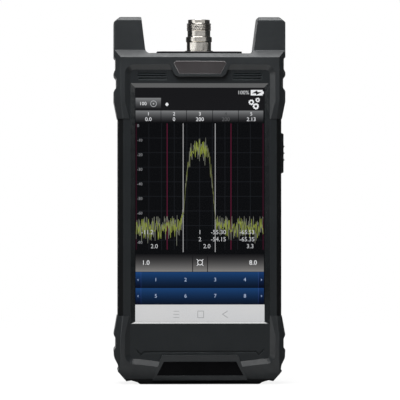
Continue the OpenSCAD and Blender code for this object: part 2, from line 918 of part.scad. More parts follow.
// Two louvred inserts over the speakers
module speaker_grilles() {
    pitch = (grille_h - 2 * grille_rim) / (grille_ribs + 1);
    color([0.15, 0.17, 0.18]) both_sides() difference() {
        front_slab(y_face + grille_set, y_lcd) grille_outline(seat_gap);
        intersection() {
            front_slab(y_face, y_lcd + over) grille_outline(grille_rim);
            for (i = [0 : grille_ribs]) grille_slot(grille_z + grille_rim + i * pitch, pitch);
        }
    }
}

module speakers() {
    margin = speaker_margin;
    color([0.15, 0.15, 0.16]) both_sides() block(
        [grille_x - grille_w / 2 + margin, y_lcd, grille_z - margin],
        [grille_x + grille_w / 2 - margin, y_lcd + speaker_t, grille_z + grille_h + margin]
    );
}

/* Chassis and boards */

chassis_side_gap = 1;
chassis_tab = 4;
chassis_over = 3.2;
chassis_hole_w = 50;
chassis_hole_h = 40;
board_inset = 1.5;
board_hw = panel_hw - board_inset;
board_low_over = 8;
board_top_over = 2.5;
board_z = screen_z - board_low_over;
board_top = screen_top + board_top_over;
standoff_r = 2.4;
board_screw_r = 1;
board_head_r = 1.9;
board_head_h = 1.3;
standoff_floor = 1;
board_bite = standoff_h - standoff_floor;
standoff_in = 4.5;
standoff_at = [
    for (x = [standoff_in - board_hw, board_hw - standoff_in],
         z = [board_z + standoff_in * 2, (board_z + board_top) / 2, board_top - standoff_in]) [x, z]
];
tab_margin = 3;
tab_w = socket_w + 2 * tab_margin;
tab_gap = 0.5;
tab_x = cavity_hw - tab_gap;
processor_w = 46;
processor_h = 50;
processor_z = 62;
can_skin = 0.5;
rf_hw = 30;
rf_gap = 3;
rf_top_in = 1;
rf_z = tub_top + rf_gap;
rf_top = board_top - rf_top_in;
rf_d = 13;
rf_header_h = 2;
rf_header_w = 24;
rf_header_t = 5;
rf_margin = 2;
lead_r = 1.8;
lead_collar_r = 3;
lead_collar_h = 2;

// The plate that holds the display in and carries the main board
module chassis_plate() {
    low = chassis_low_z - chassis_tab;
    color([0.7, 0.71, 0.72]) difference() {
        union() {
            block(
                [chassis_side_gap - cavity_hw, y_chassis, low],
                [cavity_hw - chassis_side_gap, y_standoff, screen_top + chassis_over]
            );
            for (x = [-chassis_top_x, chassis_top_x]) block(
                [x - chassis_tab, y_chassis, screen_top],
                [x + chassis_tab, y_standoff, chassis_top_z + chassis_tab]
            );
        }
        for (at = chassis_screw_at)
            rod_y(at[0], at[1], chassis_screw_r + seat_gap, y_chassis - over, y_standoff + over);
        for (z = [screen_z + screen_h / 4, screen_z + screen_h * 3 / 4])
            front_slab(y_chassis - over, y_standoff + over) translate([0, z])
                rounded_rect(chassis_hole_w, chassis_hole_h, chassis_tab);
    }
}

module chassis_screws() {
    color([0.75, 0.75, 0.76]) for (at = chassis_screw_at)
        translate([at[0], y_standoff + chassis_head_h, at[1]])
            socket_screw(chassis_screw_r, chassis_head_r, chassis_head_h, chassis_t + chassis_bite);
}

module board_standoffs() {
    color([0.75, 0.65, 0.35]) for (at = standoff_at) difference() {
        rod_y(at[0], at[1], standoff_r, y_standoff, y_board);
        rod_y(at[0], at[1], board_screw_r + screw_gap, y_board - board_bite, y_board + over);
    }
}

module board_screws() {
    color([0.75, 0.75, 0.76]) for (at = standoff_at)
        translate([at[0], y_parts + board_head_h, at[1]])
            socket_screw(board_screw_r, board_head_r, board_head_h, board_t + board_bite);
}

// The main board, with a tab on the left that carries the socket
module main_board() {
    color([0.05, 0.3, 0.15]) difference() {
        union() {
            block([-board_hw, y_board, board_z], [board_hw, y_parts, board_top]);
            block([-tab_x, y_board, port_z - tab_w / 2], [-board_hw + over, y_parts, port_z + tab_w / 2]);
        }
        for (at = standoff_at)
            rod_y(at[0], at[1], board_screw_r + seat_gap, y_board - over, y_parts + over);
    }
}

// An open can of thin sheet, standing on the main board
module shield_can(low, high) {
    skin = [can_skin, can_skin, can_skin];
    difference() {
        block(low, high);
        block(low + [can_skin, -over, can_skin], high - skin);
    }
}

module processor_shield() {
    color([0.72, 0.73, 0.74]) shield_can(
        [-processor_w / 2, y_parts, processor_z],
        [processor_w / 2, y_bay - can_skin, processor_z + processor_h]
    );
}

module rf_header() {
    z = (rf_z + rf_top) / 2;
    color([0.1, 0.1, 0.1]) block(
        [-rf_header_w / 2, y_parts, z - rf_header_t / 2],
        [rf_header_w / 2, y_parts + rf_header_h, z + rf_header_t / 2]
    );
}

module rf_board() {
    y = y_parts + rf_header_h;
    color([0.05, 0.3, 0.15]) block(
        [rf_margin - rf_hw, y, rf_z + rf_margin],
        [rf_hw - rf_margin, y + board_t, rf_top - rf_margin]
    );
}

module rf_shield() {
    color([0.72, 0.73, 0.74]) shield_can([-rf_hw, y_parts, rf_z], [rf_hw, y_parts + rf_d, rf_top]);
}

// The stiff coaxial lead from the jack down to the radio module
module rf_lead() {
    color([0.8, 0.68, 0.4]) union() {
        rod_z(0, jack_y, lead_r, rf_top, shank_z);
        rod_z(0, jack_y, lead_collar_r, rf_top, rf_top + lead_collar_h);
        rod_z(0, jack_y, lead_collar_r, shank_z - lead_collar_h, shank_z);
    }
}

/* Jack */

contact_r = 1.55;
contact_tail_r = 0.8;
contact_hole_r = 0.83;
contact_hole_l = 5;
contact_tip_z = thread_z + thread_l / 2;
jack_bore_r = 4.1;
jack_core_r = 2.3;
jack_floor = 1;
insulator_l = 10;
contact_step = 2;
jack_floor_z = jack_seat + jack_floor;
insulator_top = jack_floor_z + insulator_l;
contact_step_z = jack_floor_z + contact_step;
jack_plate_d = 24;
jack_plate_cut = 3;
deck_hw = guard_hw - horn_w - horn_lean - horn_fillet;
jack_plate_hw = deck_hw - jack_plate_gap;

module connector_plate() {
    hw = jack_plate_hw;
    hd = jack_plate_d / 2;
    top = deck_z + jack_plate_t;
    color([0.06, 0.06, 0.07]) difference() {
        plan_slab(deck_z, top)
            bevelled_plan(hw, hd, jack_plate_cut, jack_plate_cut);
        rod_z(0, jack_y, shank_r + seat_gap, deck_z - over, top + over);
        for (x = [-plate_screw_x, plate_screw_x]) {
            rod_z(x, jack_y, plate_screw_r + seat_gap, deck_z - over, top + over);
            rod_z(x, jack_y, plate_head_r + seat_gap, top - plate_head_h, top + over);
        }
    }
}

module plate_screws() {
    shank = jack_plate_t - plate_head_h + deck_t + plate_bite;
    color([0.3, 0.3, 0.32]) for (x = [-plate_screw_x, plate_screw_x])
        translate([x, jack_y, deck_z + jack_plate_t]) rotate([90, 0, 0])
            socket_screw(plate_screw_r, plate_head_r, plate_head_h, shank);
}

module jack_washer() {
    z = deck_z + jack_plate_t;
    color([0.85, 0.84, 0.8]) difference() {
        rod_z(0, jack_y, washer_r, z, jack_seat);
        rod_z(0, jack_y, shank_r + seat_gap, z - over, jack_seat + over);
    }
}

// The jack's body: shank, hexagon, collar, neck, coupling thread and plain tip round the bore
module n_jack_body() {
    hex_top = jack_seat + hex_h;
    collar_top = hex_top + jack_collar_h;
    color([0.75, 0.73, 0.68]) difference() {
        union() {
            rod_z(0, jack_y, shank_r, shank_z, jack_seat + hex_h / 2);
            translate([0, jack_y, jack_seat]) rotate(30) cylinder(h = hex_h, r = hex_flat / sqrt(3), $fn = 6);
            rod_z(0, jack_y, jack_collar_r, hex_top - over, collar_top);
            rod_z(0, jack_y, jack_neck_r, collar_top - over, thread_z);
            rod_z(0, jack_y, thread_r, thread_z, thread_z + thread_l);
            rod_z(0, jack_y, jack_tip_r, thread_z - over, jack_tip_z);
        }
        rod_z(0, jack_y, jack_bore_r, jack_floor_z, jack_tip_z + over);
        rod_z(0, jack_y, jack_core_r, shank_z - over, jack_floor_z + over);
    }
}

module n_jack_insulator() {
    color([0.95, 0.95, 0.93]) difference() {
        union() {
            rod_z(0, jack_y, jack_bore_r - screw_gap, jack_floor_z, insulator_top);
            rod_z(0, jack_y, jack_core_r - screw_gap, shank_z, jack_floor_z + over);
        }
        rod_z(0, jack_y, contact_r + screw_gap, contact_step_z, insulator_top + over);
        rod_z(0, jack_y, contact_tail_r + screw_gap, shank_z - over, contact_step_z + over);
    }
}

module n_jack_contact() {
    color([0.85, 0.7, 0.35]) difference() {
        union() {
            rod_z(0, jack_y, contact_r, contact_step_z, contact_tip_z);
            rod_z(0, jack_y, contact_tail_r, shank_z, contact_step_z + over);
        }
        rod_z(0, jack_y, contact_hole_r, contact_tip_z - contact_hole_l, contact_tip_z + over);
    }
}

module jack_nut() {
    color([0.75, 0.73, 0.68]) difference() {
        translate([0, jack_y, cavity_top - nut_t]) cylinder(h = nut_t, r = nut_flat / sqrt(3), $fn = 6);
        rod_z(0, jack_y, shank_r + screw_gap, cavity_top - nut_t - over, cavity_top + over);
    }
}

/* Battery */

battery_r = 4;
contact_block_w = 18;
contact_block_d = 8;

module battery_pack() {
    color([0.12, 0.13, 0.15]) front_slab(y_battery, y_battery + battery_t)
        translate([0, battery_z + battery_h / 2]) rounded_rect(2 * battery_hw, battery_h, battery_r);
}

module battery_contacts() {
    y = y_battery + battery_t / 2;
    color([0.8, 0.68, 0.4]) block(
        [-contact_block_w / 2, y - contact_block_d / 2, battery_z + battery_h],
        [contact_block_w / 2, y + contact_block_d / 2, bay_top]
    );
}

module battery_cover() {
    color([0.15, 0.16, 0.17]) difference() {
        battery_cover_space(seat_gap);
        for (at = cover_screw_at) {
            rod_y(at[0], at[1], cover_screw_r + seat_gap, y_cover - over, y_back + over);
            rod_y(at[0], at[1], cover_head_r + seat_gap, y_back - cover_head_h, y_back + over);
        }
    }
}

module cover_screws() {
    shank = back_wall - cover_head_h + cover_bite;
    color([0.3, 0.3, 0.32]) for (at = cover_screw_at)
        translate([at[0], y_back, at[1]]) socket_screw(cover_screw_r, cover_head_r, cover_head_h, shank);
}

/* Side key */

// The key: a cap with bevelled ends and three ridges, on a flange that keeps it in the wall
module side_key() {
    half_l = key_l / 2;
    half_w = key_w / 2;
    top_x = body_hw + key_proud;
    color([0.13, 0.14, 0.15]) union() {
        intersection() {
            front_slab(key_y - half_w, key_y + half_w) translate([0, key_z]) union() {
                polygon([
                    [key_flange_x, -half_l], [body_hw, -half_l], [top_x, key_bevel - half_l],
                    [top_x, half_l - key_bevel], [body_hw, half_l], [key_flange_x, half_l]
                ]);
                for (i = [-1 : 1]) translate([top_x, i * ridge_pitch]) circle(ridge_r);
            }
            plan_slab(key_z - half_l - over, key_z + half_l + over) translate([0, key_y]) polygon([
                [key_flange_x, -half_w], [top_x - key_round, -half_w],
                [top_x + ridge_r, ridge_r + key_round - half_w],
                [top_x + ridge_r, half_w - ridge_r - key_round],
                [top_x - key_round, half_w], [key_flange_x, half_w]
            ]);
        }
        block(
            [key_flange_x, key_y - half_w - key_flange_w, key_z - half_l - key_flange_w],
            [key_flange_x + key_flange_t, key_y + half_w + key_flange_w, key_z + half_l + key_flange_w]
        );
    }
}

module switch_plunger() {
    color([0.5, 0.12, 0.1]) translate([switch_top - key_travel, key_y, key_z]) rotate([0, 90, 0])
        cylinder(h = key_flange_x - switch_top + key_travel, r = plunger_r);
}

module key_switch() {
    floor_x = switch_top - 2 * key_travel - seat_gap;
    color([0.2, 0.2, 0.22]) difference() {
        block(
            [cavity_hw, key_y - switch_size / 2, key_z - switch_size / 2],
            [switch_top, key_y + switch_size / 2, key_z + switch_size / 2]
        );
        translate([floor_x, key_y, key_z]) rotate([0, 90, 0])
            cylinder(h = switch_top - floor_x + over, r = plunger_r + pin_gap);
    }
}

module key_board() {
    half_l = key_l / 2 + slide_gap + key_flange_w + key_board_rim;
    half_w = key_w / 2 + slide_gap + key_flange_w + key_board_side;
    color([0.05, 0.3, 0.15]) block(
        [cavity_hw - key_board_t, key_y - half_w, key_z - half_l],
        [cavity_hw, key_y + half_w, key_z + half_l]
    );
}

/* Port */

// The door, flush with the wall, on a knuckle along its rear edge
module port_door() {
    color([0.13, 0.14, 0.15]) difference() {
        union() {
            block(
                [-body_hw, hinge_y - door_w, port_z - door_l / 2],
                [door_t - body_hw, hinge_y, port_z + door_l / 2]
            );
            rod_z(hinge_x, hinge_y, knuckle_r, port_z - door_l / 2, port_z + door_l / 2);
        }
        rod_z(hinge_x, hinge_y, pin_r + pin_gap, port_z - door_l / 2 - over, port_z + door_l / 2 + over);
    }
}

// The rubber pad inside the door, which closes the socket's mouth
module door_seal() {
    color([0.08, 0.08, 0.08]) block(
        [door_t - body_hw, port_y - seal_h / 2, port_z - seal_l / 2],
        [door_t - body_hw + seal_deep, port_y + seal_h / 2, port_z + seal_l / 2]
    );
}

module door_pin() {
    reach = door_l / 2 + slide_gap + pin_bite;
    color([0.7, 0.7, 0.72]) rod_z(hinge_x, hinge_y, pin_r, port_z - reach, port_z + reach);
}

// The socket: a thin shell with a tongue, its mouth in the seal's pocket
module usb_socket() {
    half_t = socket_t / 2;
    half_w = socket_w / 2;
    back_x = socket_face + socket_l;
    color([0.75, 0.75, 0.77]) union() {
        difference() {
            block(
                [socket_face, port_y - half_t, port_z - half_w],
                [back_x, port_y + half_t, port_z + half_w]
            );
            block(
                [socket_face - over, port_y - half_t + socket_skin, port_z - half_w + socket_skin],
                [back_x - socket_floor, port_y + half_t - socket_skin, port_z + half_w - socket_skin]
            );
        }
        block(
            [socket_face + tongue_in, port_y - tongue_t / 2, port_z - half_w + tongue_margin],
            [back_x - socket_floor / 2, port_y + tongue_t / 2, port_z + half_w - tongue_margin]
        );
    }
}

front_housing();
rear_cover();
housing_seal();
case_screws();
top_guard();
bottom_boot();
cover_glass();
glass_gasket();
lcd_panel();
speaker_grilles();
speakers();
name_plate();
badge_plate();
chassis_plate();
chassis_screws();
board_standoffs();
board_screws();
main_board();
processor_shield();
rf_header();
rf_board();
rf_shield();
rf_lead();
connector_plate();
plate_screws();
jack_washer();
n_jack_body();
n_jack_insulator();
n_jack_contact();
jack_nut();
battery_pack();
battery_contacts();
battery_cover();
cover_screws();
side_key();
switch_plunger();
key_switch();
key_board();
port_door();
door_seal();
door_pin();
usb_socket();
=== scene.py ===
"""Looks for the rugged handheld spectrum analyzer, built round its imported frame.

Lengths are in millimetres and become metres when a mesh is made; the studio at the end is in metres.
Colours are the eight-bit values that a surface shows in plain light. +Z is up, the screen faces -Y, and
+X is to the right as the screen is read.
"""

import math

import bmesh
import bpy
import numpy as np
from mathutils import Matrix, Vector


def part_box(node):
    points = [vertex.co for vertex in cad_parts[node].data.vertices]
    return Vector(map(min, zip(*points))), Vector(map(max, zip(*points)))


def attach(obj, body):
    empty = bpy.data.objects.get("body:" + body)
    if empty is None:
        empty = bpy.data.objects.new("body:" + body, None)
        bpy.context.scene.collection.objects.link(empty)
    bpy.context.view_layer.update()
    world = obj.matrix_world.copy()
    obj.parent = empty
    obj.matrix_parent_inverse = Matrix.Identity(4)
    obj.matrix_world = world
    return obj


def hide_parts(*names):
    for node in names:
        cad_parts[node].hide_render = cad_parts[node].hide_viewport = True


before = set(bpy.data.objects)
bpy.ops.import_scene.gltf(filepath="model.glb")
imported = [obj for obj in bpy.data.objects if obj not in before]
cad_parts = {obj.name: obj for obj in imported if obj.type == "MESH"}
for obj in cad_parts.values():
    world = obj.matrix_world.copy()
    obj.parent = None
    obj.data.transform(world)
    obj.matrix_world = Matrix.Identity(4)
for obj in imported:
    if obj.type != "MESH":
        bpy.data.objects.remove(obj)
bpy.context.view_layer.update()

MM = 0.001
TURN = 2 * math.pi
TINY = 1e-9


# Sizes that the scene shares with the frame

def node_box(node):
    """A node's lowest and highest corner, in millimetres."""
    low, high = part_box(node)
    return np.array(low) / MM, np.array(high) / MM


FRONT_LOW, FRONT_HIGH = node_box("front_housing")
FACE_Y = FRONT_LOW[1]
SIDE_X = FRONT_HIGH[0]
BODY_TOP = FRONT_HIGH[2]
BODY_LOW = FRONT_LOW[2]
BACK_Y = node_box("rear_cover")[1][1]
GUARD_LOW = node_box("top_guard")[0][2]
BOOT_HIGH = node_box("bottom_boot")[1][2]
GASKET_Y = node_box("glass_gasket")[0][1]
PANEL_LOW, PANEL_HIGH = node_box("lcd_panel")
PANEL_LAP = 1.1
SCREEN_HALF = PANEL_HIGH[0] - PANEL_LAP
SCREEN_TOP = PANEL_HIGH[2] - PANEL_LAP
SCREEN_LOW = PANEL_LOW[2] + PANEL_LAP
JACK_LOW = node_box("n_jack_body")[0][2]
JACK_TOP = node_box("n_jack_body")[1][2]
JACK_SEAT = node_box("jack_washer")[1][2]


# Colours

def linear(colour):
    """Eight-bit display values as linear light, by the sRGB curve."""
    c = np.asarray(colour, float) / 255
    return np.where(c <= 0.04045, c / 12.92, ((c + 0.055) / 1.055) ** 2.4)


def rgba(colour):
    """The same with full cover, as a socket takes it."""
    return (*linear(colour).tolist(), 1.0)


# Meshes

def grid_quads(rows, columns, close_rows=False, close_columns=False):
    """Quads that join each point of a grid with its neighbours along both parameters."""
    i = np.arange(rows if close_rows else rows - 1)
    j = np.arange(columns if close_columns else columns - 1)
    i, j = (a.ravel() for a in np.meshgrid(i, j, indexing="ij"))
    i_next = (i + 1) % rows
    j_next = (j + 1) % columns
    corners = [i * columns + j, i * columns + j_next, i_next * columns + j_next, i_next * columns + j]
    return np.stack(corners, axis=1)


def surface(name, points, faces):
    """A mesh from points in millimetres and lists of the points round each face."""
    mesh = bpy.data.meshes.new(name)
    mesh.from_pydata((points * MM).tolist(), [], faces)
    mesh.validate()
    return mesh


def add_piece(name, mesh, materials, body, replaces=()):
    """An object at the origin that shows a mesh, rides on a body and stands for the nodes named."""
    mesh.name = name
    mesh.materials.clear()
    for material in materials:
        mesh.materials.append(material)
    piece = bpy.data.objects.new(name, mesh)
    bpy.context.scene.collection.objects.link(piece)
    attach(piece, body)
    if replaces:
        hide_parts(*replaces)
    return piece


def read(items, field, width=1, kind=np.float32):
    """One field of all of a mesh's items, with a row for each where the field holds several numbers."""
    values = np.empty(len(items) * width, kind)
    items.foreach_get(field, values)
    return values.reshape(-1, width) if width > 1 else values


def edge_facts(mesh):
    """At each edge: the angle between its faces, its two ends and its narrower face's width.

    A face's width is twice its area over its outline's length, as a long strip's is. The angle is in degrees
    and stays 0, as the width does, where an edge hasn't two faces.
    """
    edge_of = read(mesh.loops, "edge_index", kind=np.int32)
    totals = read(mesh.polygons, "loop_total", kind=np.int32)
    normals = read(mesh.polygons, "normal", 3).astype(float)
    areas = read(mesh.polygons, "area")
    points = read(mesh.vertices, "co", 3).astype(float) / MM
    ends = points[read(mesh.edges, "vertices", 2, np.int32)]
    lengths = np.linalg.norm(ends[:, 1] - ends[:, 0], axis=1)
    owner = np.repeat(np.arange(len(totals)), totals)
    outline = np.bincount(owner, weights=lengths[edge_of], minlength=len(totals))
    wide = 2 * areas / MM**2 / outline
    face_of = owner[np.argsort(edge_of, kind="stable")]
    uses = np.bincount(edge_of, minlength=len(ends))
    first = np.concatenate([[0], np.cumsum(uses)[:-1]])
    paired = uses == 2
    one = face_of[first[paired]]
    two = face_of[first[paired] + 1]
    cosine = np.clip((normals[one] * normals[two]).sum(1), -1, 1)
    turn = np.zeros(len(ends))
    turn[paired] = np.degrees(np.arccos(cosine))
    width = np.zeros(len(ends))
    width[paired] = np.minimum(wide[one], wide[two])
    return turn, ends, width


FACING = 0.5
FOLD = -0.97
SLIVER = 0.02


def folded_points(mesh):
    """Corners of the triangles that lie against their own face or fold back on a neighbour.

    Both show in the cosine between two normals. Triangles smaller than a sliver are passed over.
    """
    mesh.calc_loop_triangles()
    corners = read(mesh.loop_triangles, "vertices", 3, np.int32).astype(np.int64)
    face = read(mesh.loop_triangles, "polygon_index", kind=np.int32)
    points = read(mesh.vertices, "co", 3).astype(float) / MM
    normals = read(mesh.polygons, "normal", 3)
    a, b, c = (points[corners[:, k]] for k in range(3))
    across = np.cross(b - a, c - a)
    area = np.linalg.norm(across, axis=1) / 2
    across /= np.maximum(2 * area[:, None], TINY)
    bad = (across * normals[face]).sum(1) < FACING
    sides = np.concatenate([corners[:, [0, 1]], corners[:, [1, 2]], corners[:, [2, 0]]])
    sides = np.sort(sides, axis=1)
    key = sides[:, 0] * len(points) + sides[:, 1]
    order = np.argsort(key, kind="stable")
    shared = np.flatnonzero(key[order][1:] == key[order][:-1])
    one = order[shared] % len(corners)
    two = order[shared + 1] % len(corners)
    fold = (across[one] * across[two]).sum(1) < FOLD
    bad[one[fold]] = True
    bad[two[fold]] = True
    return points[np.unique(corners[bad & (area > SLIVER)])]


WELD = 0.05
FLAT_WITHIN = math.radians(1)


def join_triangles(mesh):
    """A node's loose triangles are welded and joined into whole flat faces, and its own shading goes."""
    work = bmesh.new()
    work.from_mesh(mesh)
    bmesh.ops.remove_doubles(work, verts=work.verts, dist=WELD * MM)
    bmesh.ops.dissolve_degenerate(work, edges=work.edges, dist=WELD * MM)
    bmesh.ops.dissolve_limit(work, angle_limit=FLAT_WITHIN, verts=work.verts, edges=work.edges)
    work.to_mesh(mesh)
    work.free()
    for shading in ("custom_normal", "sharp_face"):
        if shading in mesh.attributes:
            mesh.attributes.remove(mesh.attributes[shading])


# Number of the lighter material on the rounded edges, a painted highlight
EDGE_HIGHLIGHT_MATERIAL = 1
FIRST_FLAT_MATERIAL = 2
ROUND_STEPS = 3
STRONG_FACES = 100


def round_by_weight(piece, radius):
    """Live modifiers: arcs on the edges that have a weight, which take the lighter material as a painted
    highlight, and shading that keeps the large faces flat.
    """
    bevel = piece.modifiers.new("rounded_edges", "BEVEL")
    bevel.limit_method = "WEIGHT"
    bevel.width = radius * MM
    bevel.segments = ROUND_STEPS
    bevel.use_clamp_overlap = False
    bevel.loop_slide = False
    bevel.miter_outer = "MITER_ARC"
    bevel.material = EDGE_HIGHLIGHT_MATERIAL
    shading = piece.modifiers.new("flat_faces", "WEIGHTED_NORMAL")
    shading.keep_sharp = True
    shading.weight = STRONG_FACES


LEAST_TURN = 25.0
ROUND_SHARE = 0.35
LEAST_SHARE = 0.08
FOLD_TRIES = 10
FOLD_REACH = 1.5


def softened(node, name, materials, radius, spared=None, body="case", picked=()):
    """A copy of a node whose triangles are joined into whole faces and whose edges are rounded.

    An edge is rounded where its faces meet at more than LEAST_TURN degrees and `spared(middles)` doesn't
    keep it, by the radius or by a share of its narrower face's width if that is less. Bevel takes that from
    the edges' weights, which are halved near a fold until none is left. The rounded edges get the second
    material, a lighter copy of the first that paints a highlight on them. `picked` pairs a material's
    number with a test of the faces' middles and normals. Faces that have the third or a later material are
    shaded flat.
    """
    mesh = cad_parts[node].data.copy()
    join_triangles(mesh)
    turn, ends, width = edge_facts(mesh)
    turned = turn > LEAST_TURN
    rounded = turned if spared is None else turned & ~spared(ends.mean(axis=1))
    share = np.where(rounded, np.clip(ROUND_SHARE * width / radius, 0, 1), 0)
    mesh.attributes.new("bevel_weight_edge", "FLOAT", "EDGE")
    piece = add_piece(name, mesh, materials, body, [node])
    middles = read(mesh.polygons, "center", 3).astype(float) / MM
    normals = read(mesh.polygons, "normal", 3).astype(float)
    index = np.zeros(len(mesh.polygons), np.int32)
    for number, test in picked:
        index[test(middles, normals)] = number
    mesh.polygons.foreach_set("material_index", index)
    mesh.polygons.foreach_set("use_smooth", index < FIRST_FLAT_MATERIAL)
    round_by_weight(piece, radius)
    for _ in range(FOLD_TRIES):
        share[share < LEAST_SHARE] = 0
        mesh.attributes["bevel_weight_edge"].data.foreach_set("value", share.astype(np.float32))
        mesh.edges.foreach_set("use_edge_sharp", turned & (share == 0))
        mesh.update()
        shown = piece.evaluated_get(bpy.context.evaluated_depsgraph_get())
        folds = folded_points(shown.to_mesh())
        shown.to_mesh_clear()
        gap = np.linalg.norm(ends[:, :, None] - folds, axis=-1).min(axis=(1, 2), initial=np.inf)
        near = (share > 0) & (gap < FOLD_REACH * radius)
        if not near.any():
            break
        share[near] /= 2


# Materials

def mapped(tree, value, low, high, to_low, to_high):
    """A value taken from one range to another and held at its ends."""
    spread = tree.nodes.new("ShaderNodeMapRange")
    ends = {"From Min": low, "From Max": high, "To Min": to_low, "To Max": to_high}
    for socket, number in ends.items():
        spread.inputs[socket].default_value = number
    tree.links.new(value, spread.inputs["Value"])
    return spread.outputs["Result"]


TONE_SPAN = (0.33, 0.67)
GLOSS_SPAN = (0.3, 0.7)


class Finish:
    """A Principled material whose textures read Object coordinates."""

    def __init__(self, name, roughness=0.5, metallic=0.0, specular=0.5, **sockets):
        self.material = bpy.data.materials.new(name)
        self.material.use_nodes = True
        self.tree = self.material.node_tree
        self.shader = self.tree.nodes["Principled BSDF"]
        values = {"Roughness": roughness, "Metallic": metallic, "Specular IOR Level": specular}
        values.update(sockets)
        for socket, value in values.items():
            self.shader.inputs[socket].default_value = value
        self.place = self.tree.nodes.new("ShaderNodeTexCoord").outputs["Object"]

    def noise(self, per_metre, detail=3.0, stretch=(1, 1, 1)):
        """Noise with so many features to the metre, drawn out along the axes where stretch is below 1."""
        mapping = self.tree.nodes.new("ShaderNodeMapping")
        mapping.inputs["Scale"].default_value = stretch
        texture = self.tree.nodes.new("ShaderNodeTexNoise")
        texture.inputs["Scale"].default_value = per_metre
        texture.inputs["Detail"].default_value = detail
        self.tree.links.new(self.place, mapping.inputs["Vector"])
        self.tree.links.new(mapping.outputs["Vector"], texture.inputs["Vector"])
        return texture.outputs["Fac"]

    def colour(self, low, high, by):
        """The base colour drifts from low to high as a texture crosses TONE_SPAN."""
        ramp = self.tree.nodes.new("ShaderNodeValToRGB")
        for stop, position, tone in zip(ramp.color_ramp.elements, TONE_SPAN, (low, high)):
            stop.position = position
            stop.color = rgba(tone)
        self.tree.links.new(by, ramp.inputs["Fac"])
        self.tree.links.new(ramp.outputs["Color"], self.shader.inputs["Base Color"])

    def rough(self, low, high, by):
        """The roughness runs from low to high as a texture crosses GLOSS_SPAN."""
        spread = mapped(self.tree, by, *GLOSS_SPAN, low, high)
        self.tree.links.new(spread, self.shader.inputs["Roughness"])

    def grain(self, depth, by, strength=0.35):
        """Bump of a texture, so many millimetres deep."""
        bump = self.tree.nodes.new("ShaderNodeBump")
        bump.inputs["Strength"].default_value = strength
        bump.inputs["Distance"].default_value = depth * MM
        self.tree.links.new(by, bump.inputs["Height"])
        self.tree.links.new(bump.outputs["Normal"], self.shader.inputs["Normal"])


def moulded(name, low, high, rough_low, rough_high, grain_mm, depth, specular=0.25, **sockets):
    """Moulded plastic or elastomer: broad drift of tone, finer drift of gloss and a spark-eroded grain."""
    finish = Finish(name, specular=specular, **sockets)
    finish.colour(low, high, finish.noise(per_metre=70, detail=4))
    finish.rough(rough_low, rough_high, finish.noise(per_metre=350, detail=2))
    finish.grain(depth, finish.noise(per_metre=1 / (grain_mm * MM), detail=2))
    return finish.material


def plated(name, low, high, rough_low, rough_high, lines=(1, 1, 1), per_metre=900, depth=0.004):
    """Metal: tone and grain follow fine tool lines, drawn out along the axes where `lines` is below 1."""
    finish = Finish(name, metallic=1.0)
    tool = finish.noise(per_metre, stretch=lines)
    finish.colour(low, high, tool)
    finish.rough(rough_low, rough_high, finish.noise(per_metre=250))
    finish.grain(depth, tool, strength=0.2)
    return finish.material


# Moulded finishes: the two tones, the least and most roughness, the grain's width and depth, and the shine
HOUSING = moulded("housing_plastic", (34, 37, 39), (37, 40, 42), 0.38, 0.5, 0.35, 0.02)
# Lighter copy for the rounded edges: a painted highlight
HOUSING_EDGE_HIGHLIGHT = moulded("housing_plastic_edge_highlight", (38, 42, 44), (46, 50, 52), 0.3, 0.4, 0.5, 0.01)
# Darker, duller copy for the housing's side bevels: painted shade
HOUSING_SIDE_SHADE = moulded("housing_plastic_side_shade", (19, 20, 21), (22, 23, 24), 0.45, 0.55, 0.35, 0.02, 0.1)
GUARD = moulded("guard_elastomer", (37, 40, 42), (43, 46, 48), 0.34, 0.44, 0.3, 0.02, 0.5)
# Lighter copy for the rounded edges and the slope under the rim: a painted highlight
GUARD_EDGE_HIGHLIGHT = moulded("guard_elastomer_edge_highlight", (46, 49, 51), (56, 59, 61), 0.28, 0.38, 0.45, 0.012, 0.5)
BOOT = moulded("boot_elastomer", (32, 35, 37), (37, 40, 42), 0.34, 0.44, 0.3, 0.02, 0.5)
# Lighter copy for the rounded edges: a painted highlight
BOOT_EDGE_HIGHLIGHT = moulded("boot_elastomer_edge_highlight", (42, 45, 47), (51, 54, 56), 0.28, 0.38, 0.45, 0.012, 0.5)
BEZEL = moulded("bezel_polish", (24, 28, 30), (30, 34, 36), 0.09, 0.15, 0.8, 0.003, 0.8, IOR=1.7)
KEY = moulded("key_rubber", (26, 28, 29), (34, 36, 37), 0.42, 0.55, 0.3, 0.015)
# Lighter copy for the rounded edges: a painted highlight
KEY_EDGE_HIGHLIGHT = moulded("key_rubber_edge_highlight", (32, 34, 35), (42, 44, 45), 0.36, 0.46, 0.4, 0.01)
SEAL = moulded("seal_rubber", (14, 14, 15), (22, 22, 23), 0.6, 0.75, 0.4, 0.02, 0.3)
GRILLE = moulded("grille_plastic", (34, 38, 40), (40, 44, 46), 0.36, 0.46, 0.3, 0.012, 0.5)
INNER = moulded("inner_plastic", (36, 36, 38), (48, 48, 50), 0.5, 0.65, 0.5, 0.02)
NAME_PLATE = moulded("name_plate_satin", (60, 57, 58), (68, 65, 66), 0.34, 0.44, 0.25, 0.008)
# Lighter rim for the plate's rounded edges: a painted highlight
NAME_EDGE_HIGHLIGHT = moulded("name_plate_rim_highlight", (132, 130, 131), (154, 152, 153), 0.26, 0.36, 0.3, 0.006)
BADGE = moulded("badge_gloss", (5, 5, 6), (8, 8, 10), 0.06, 0.12, 3.0, 0.002, 0.03)
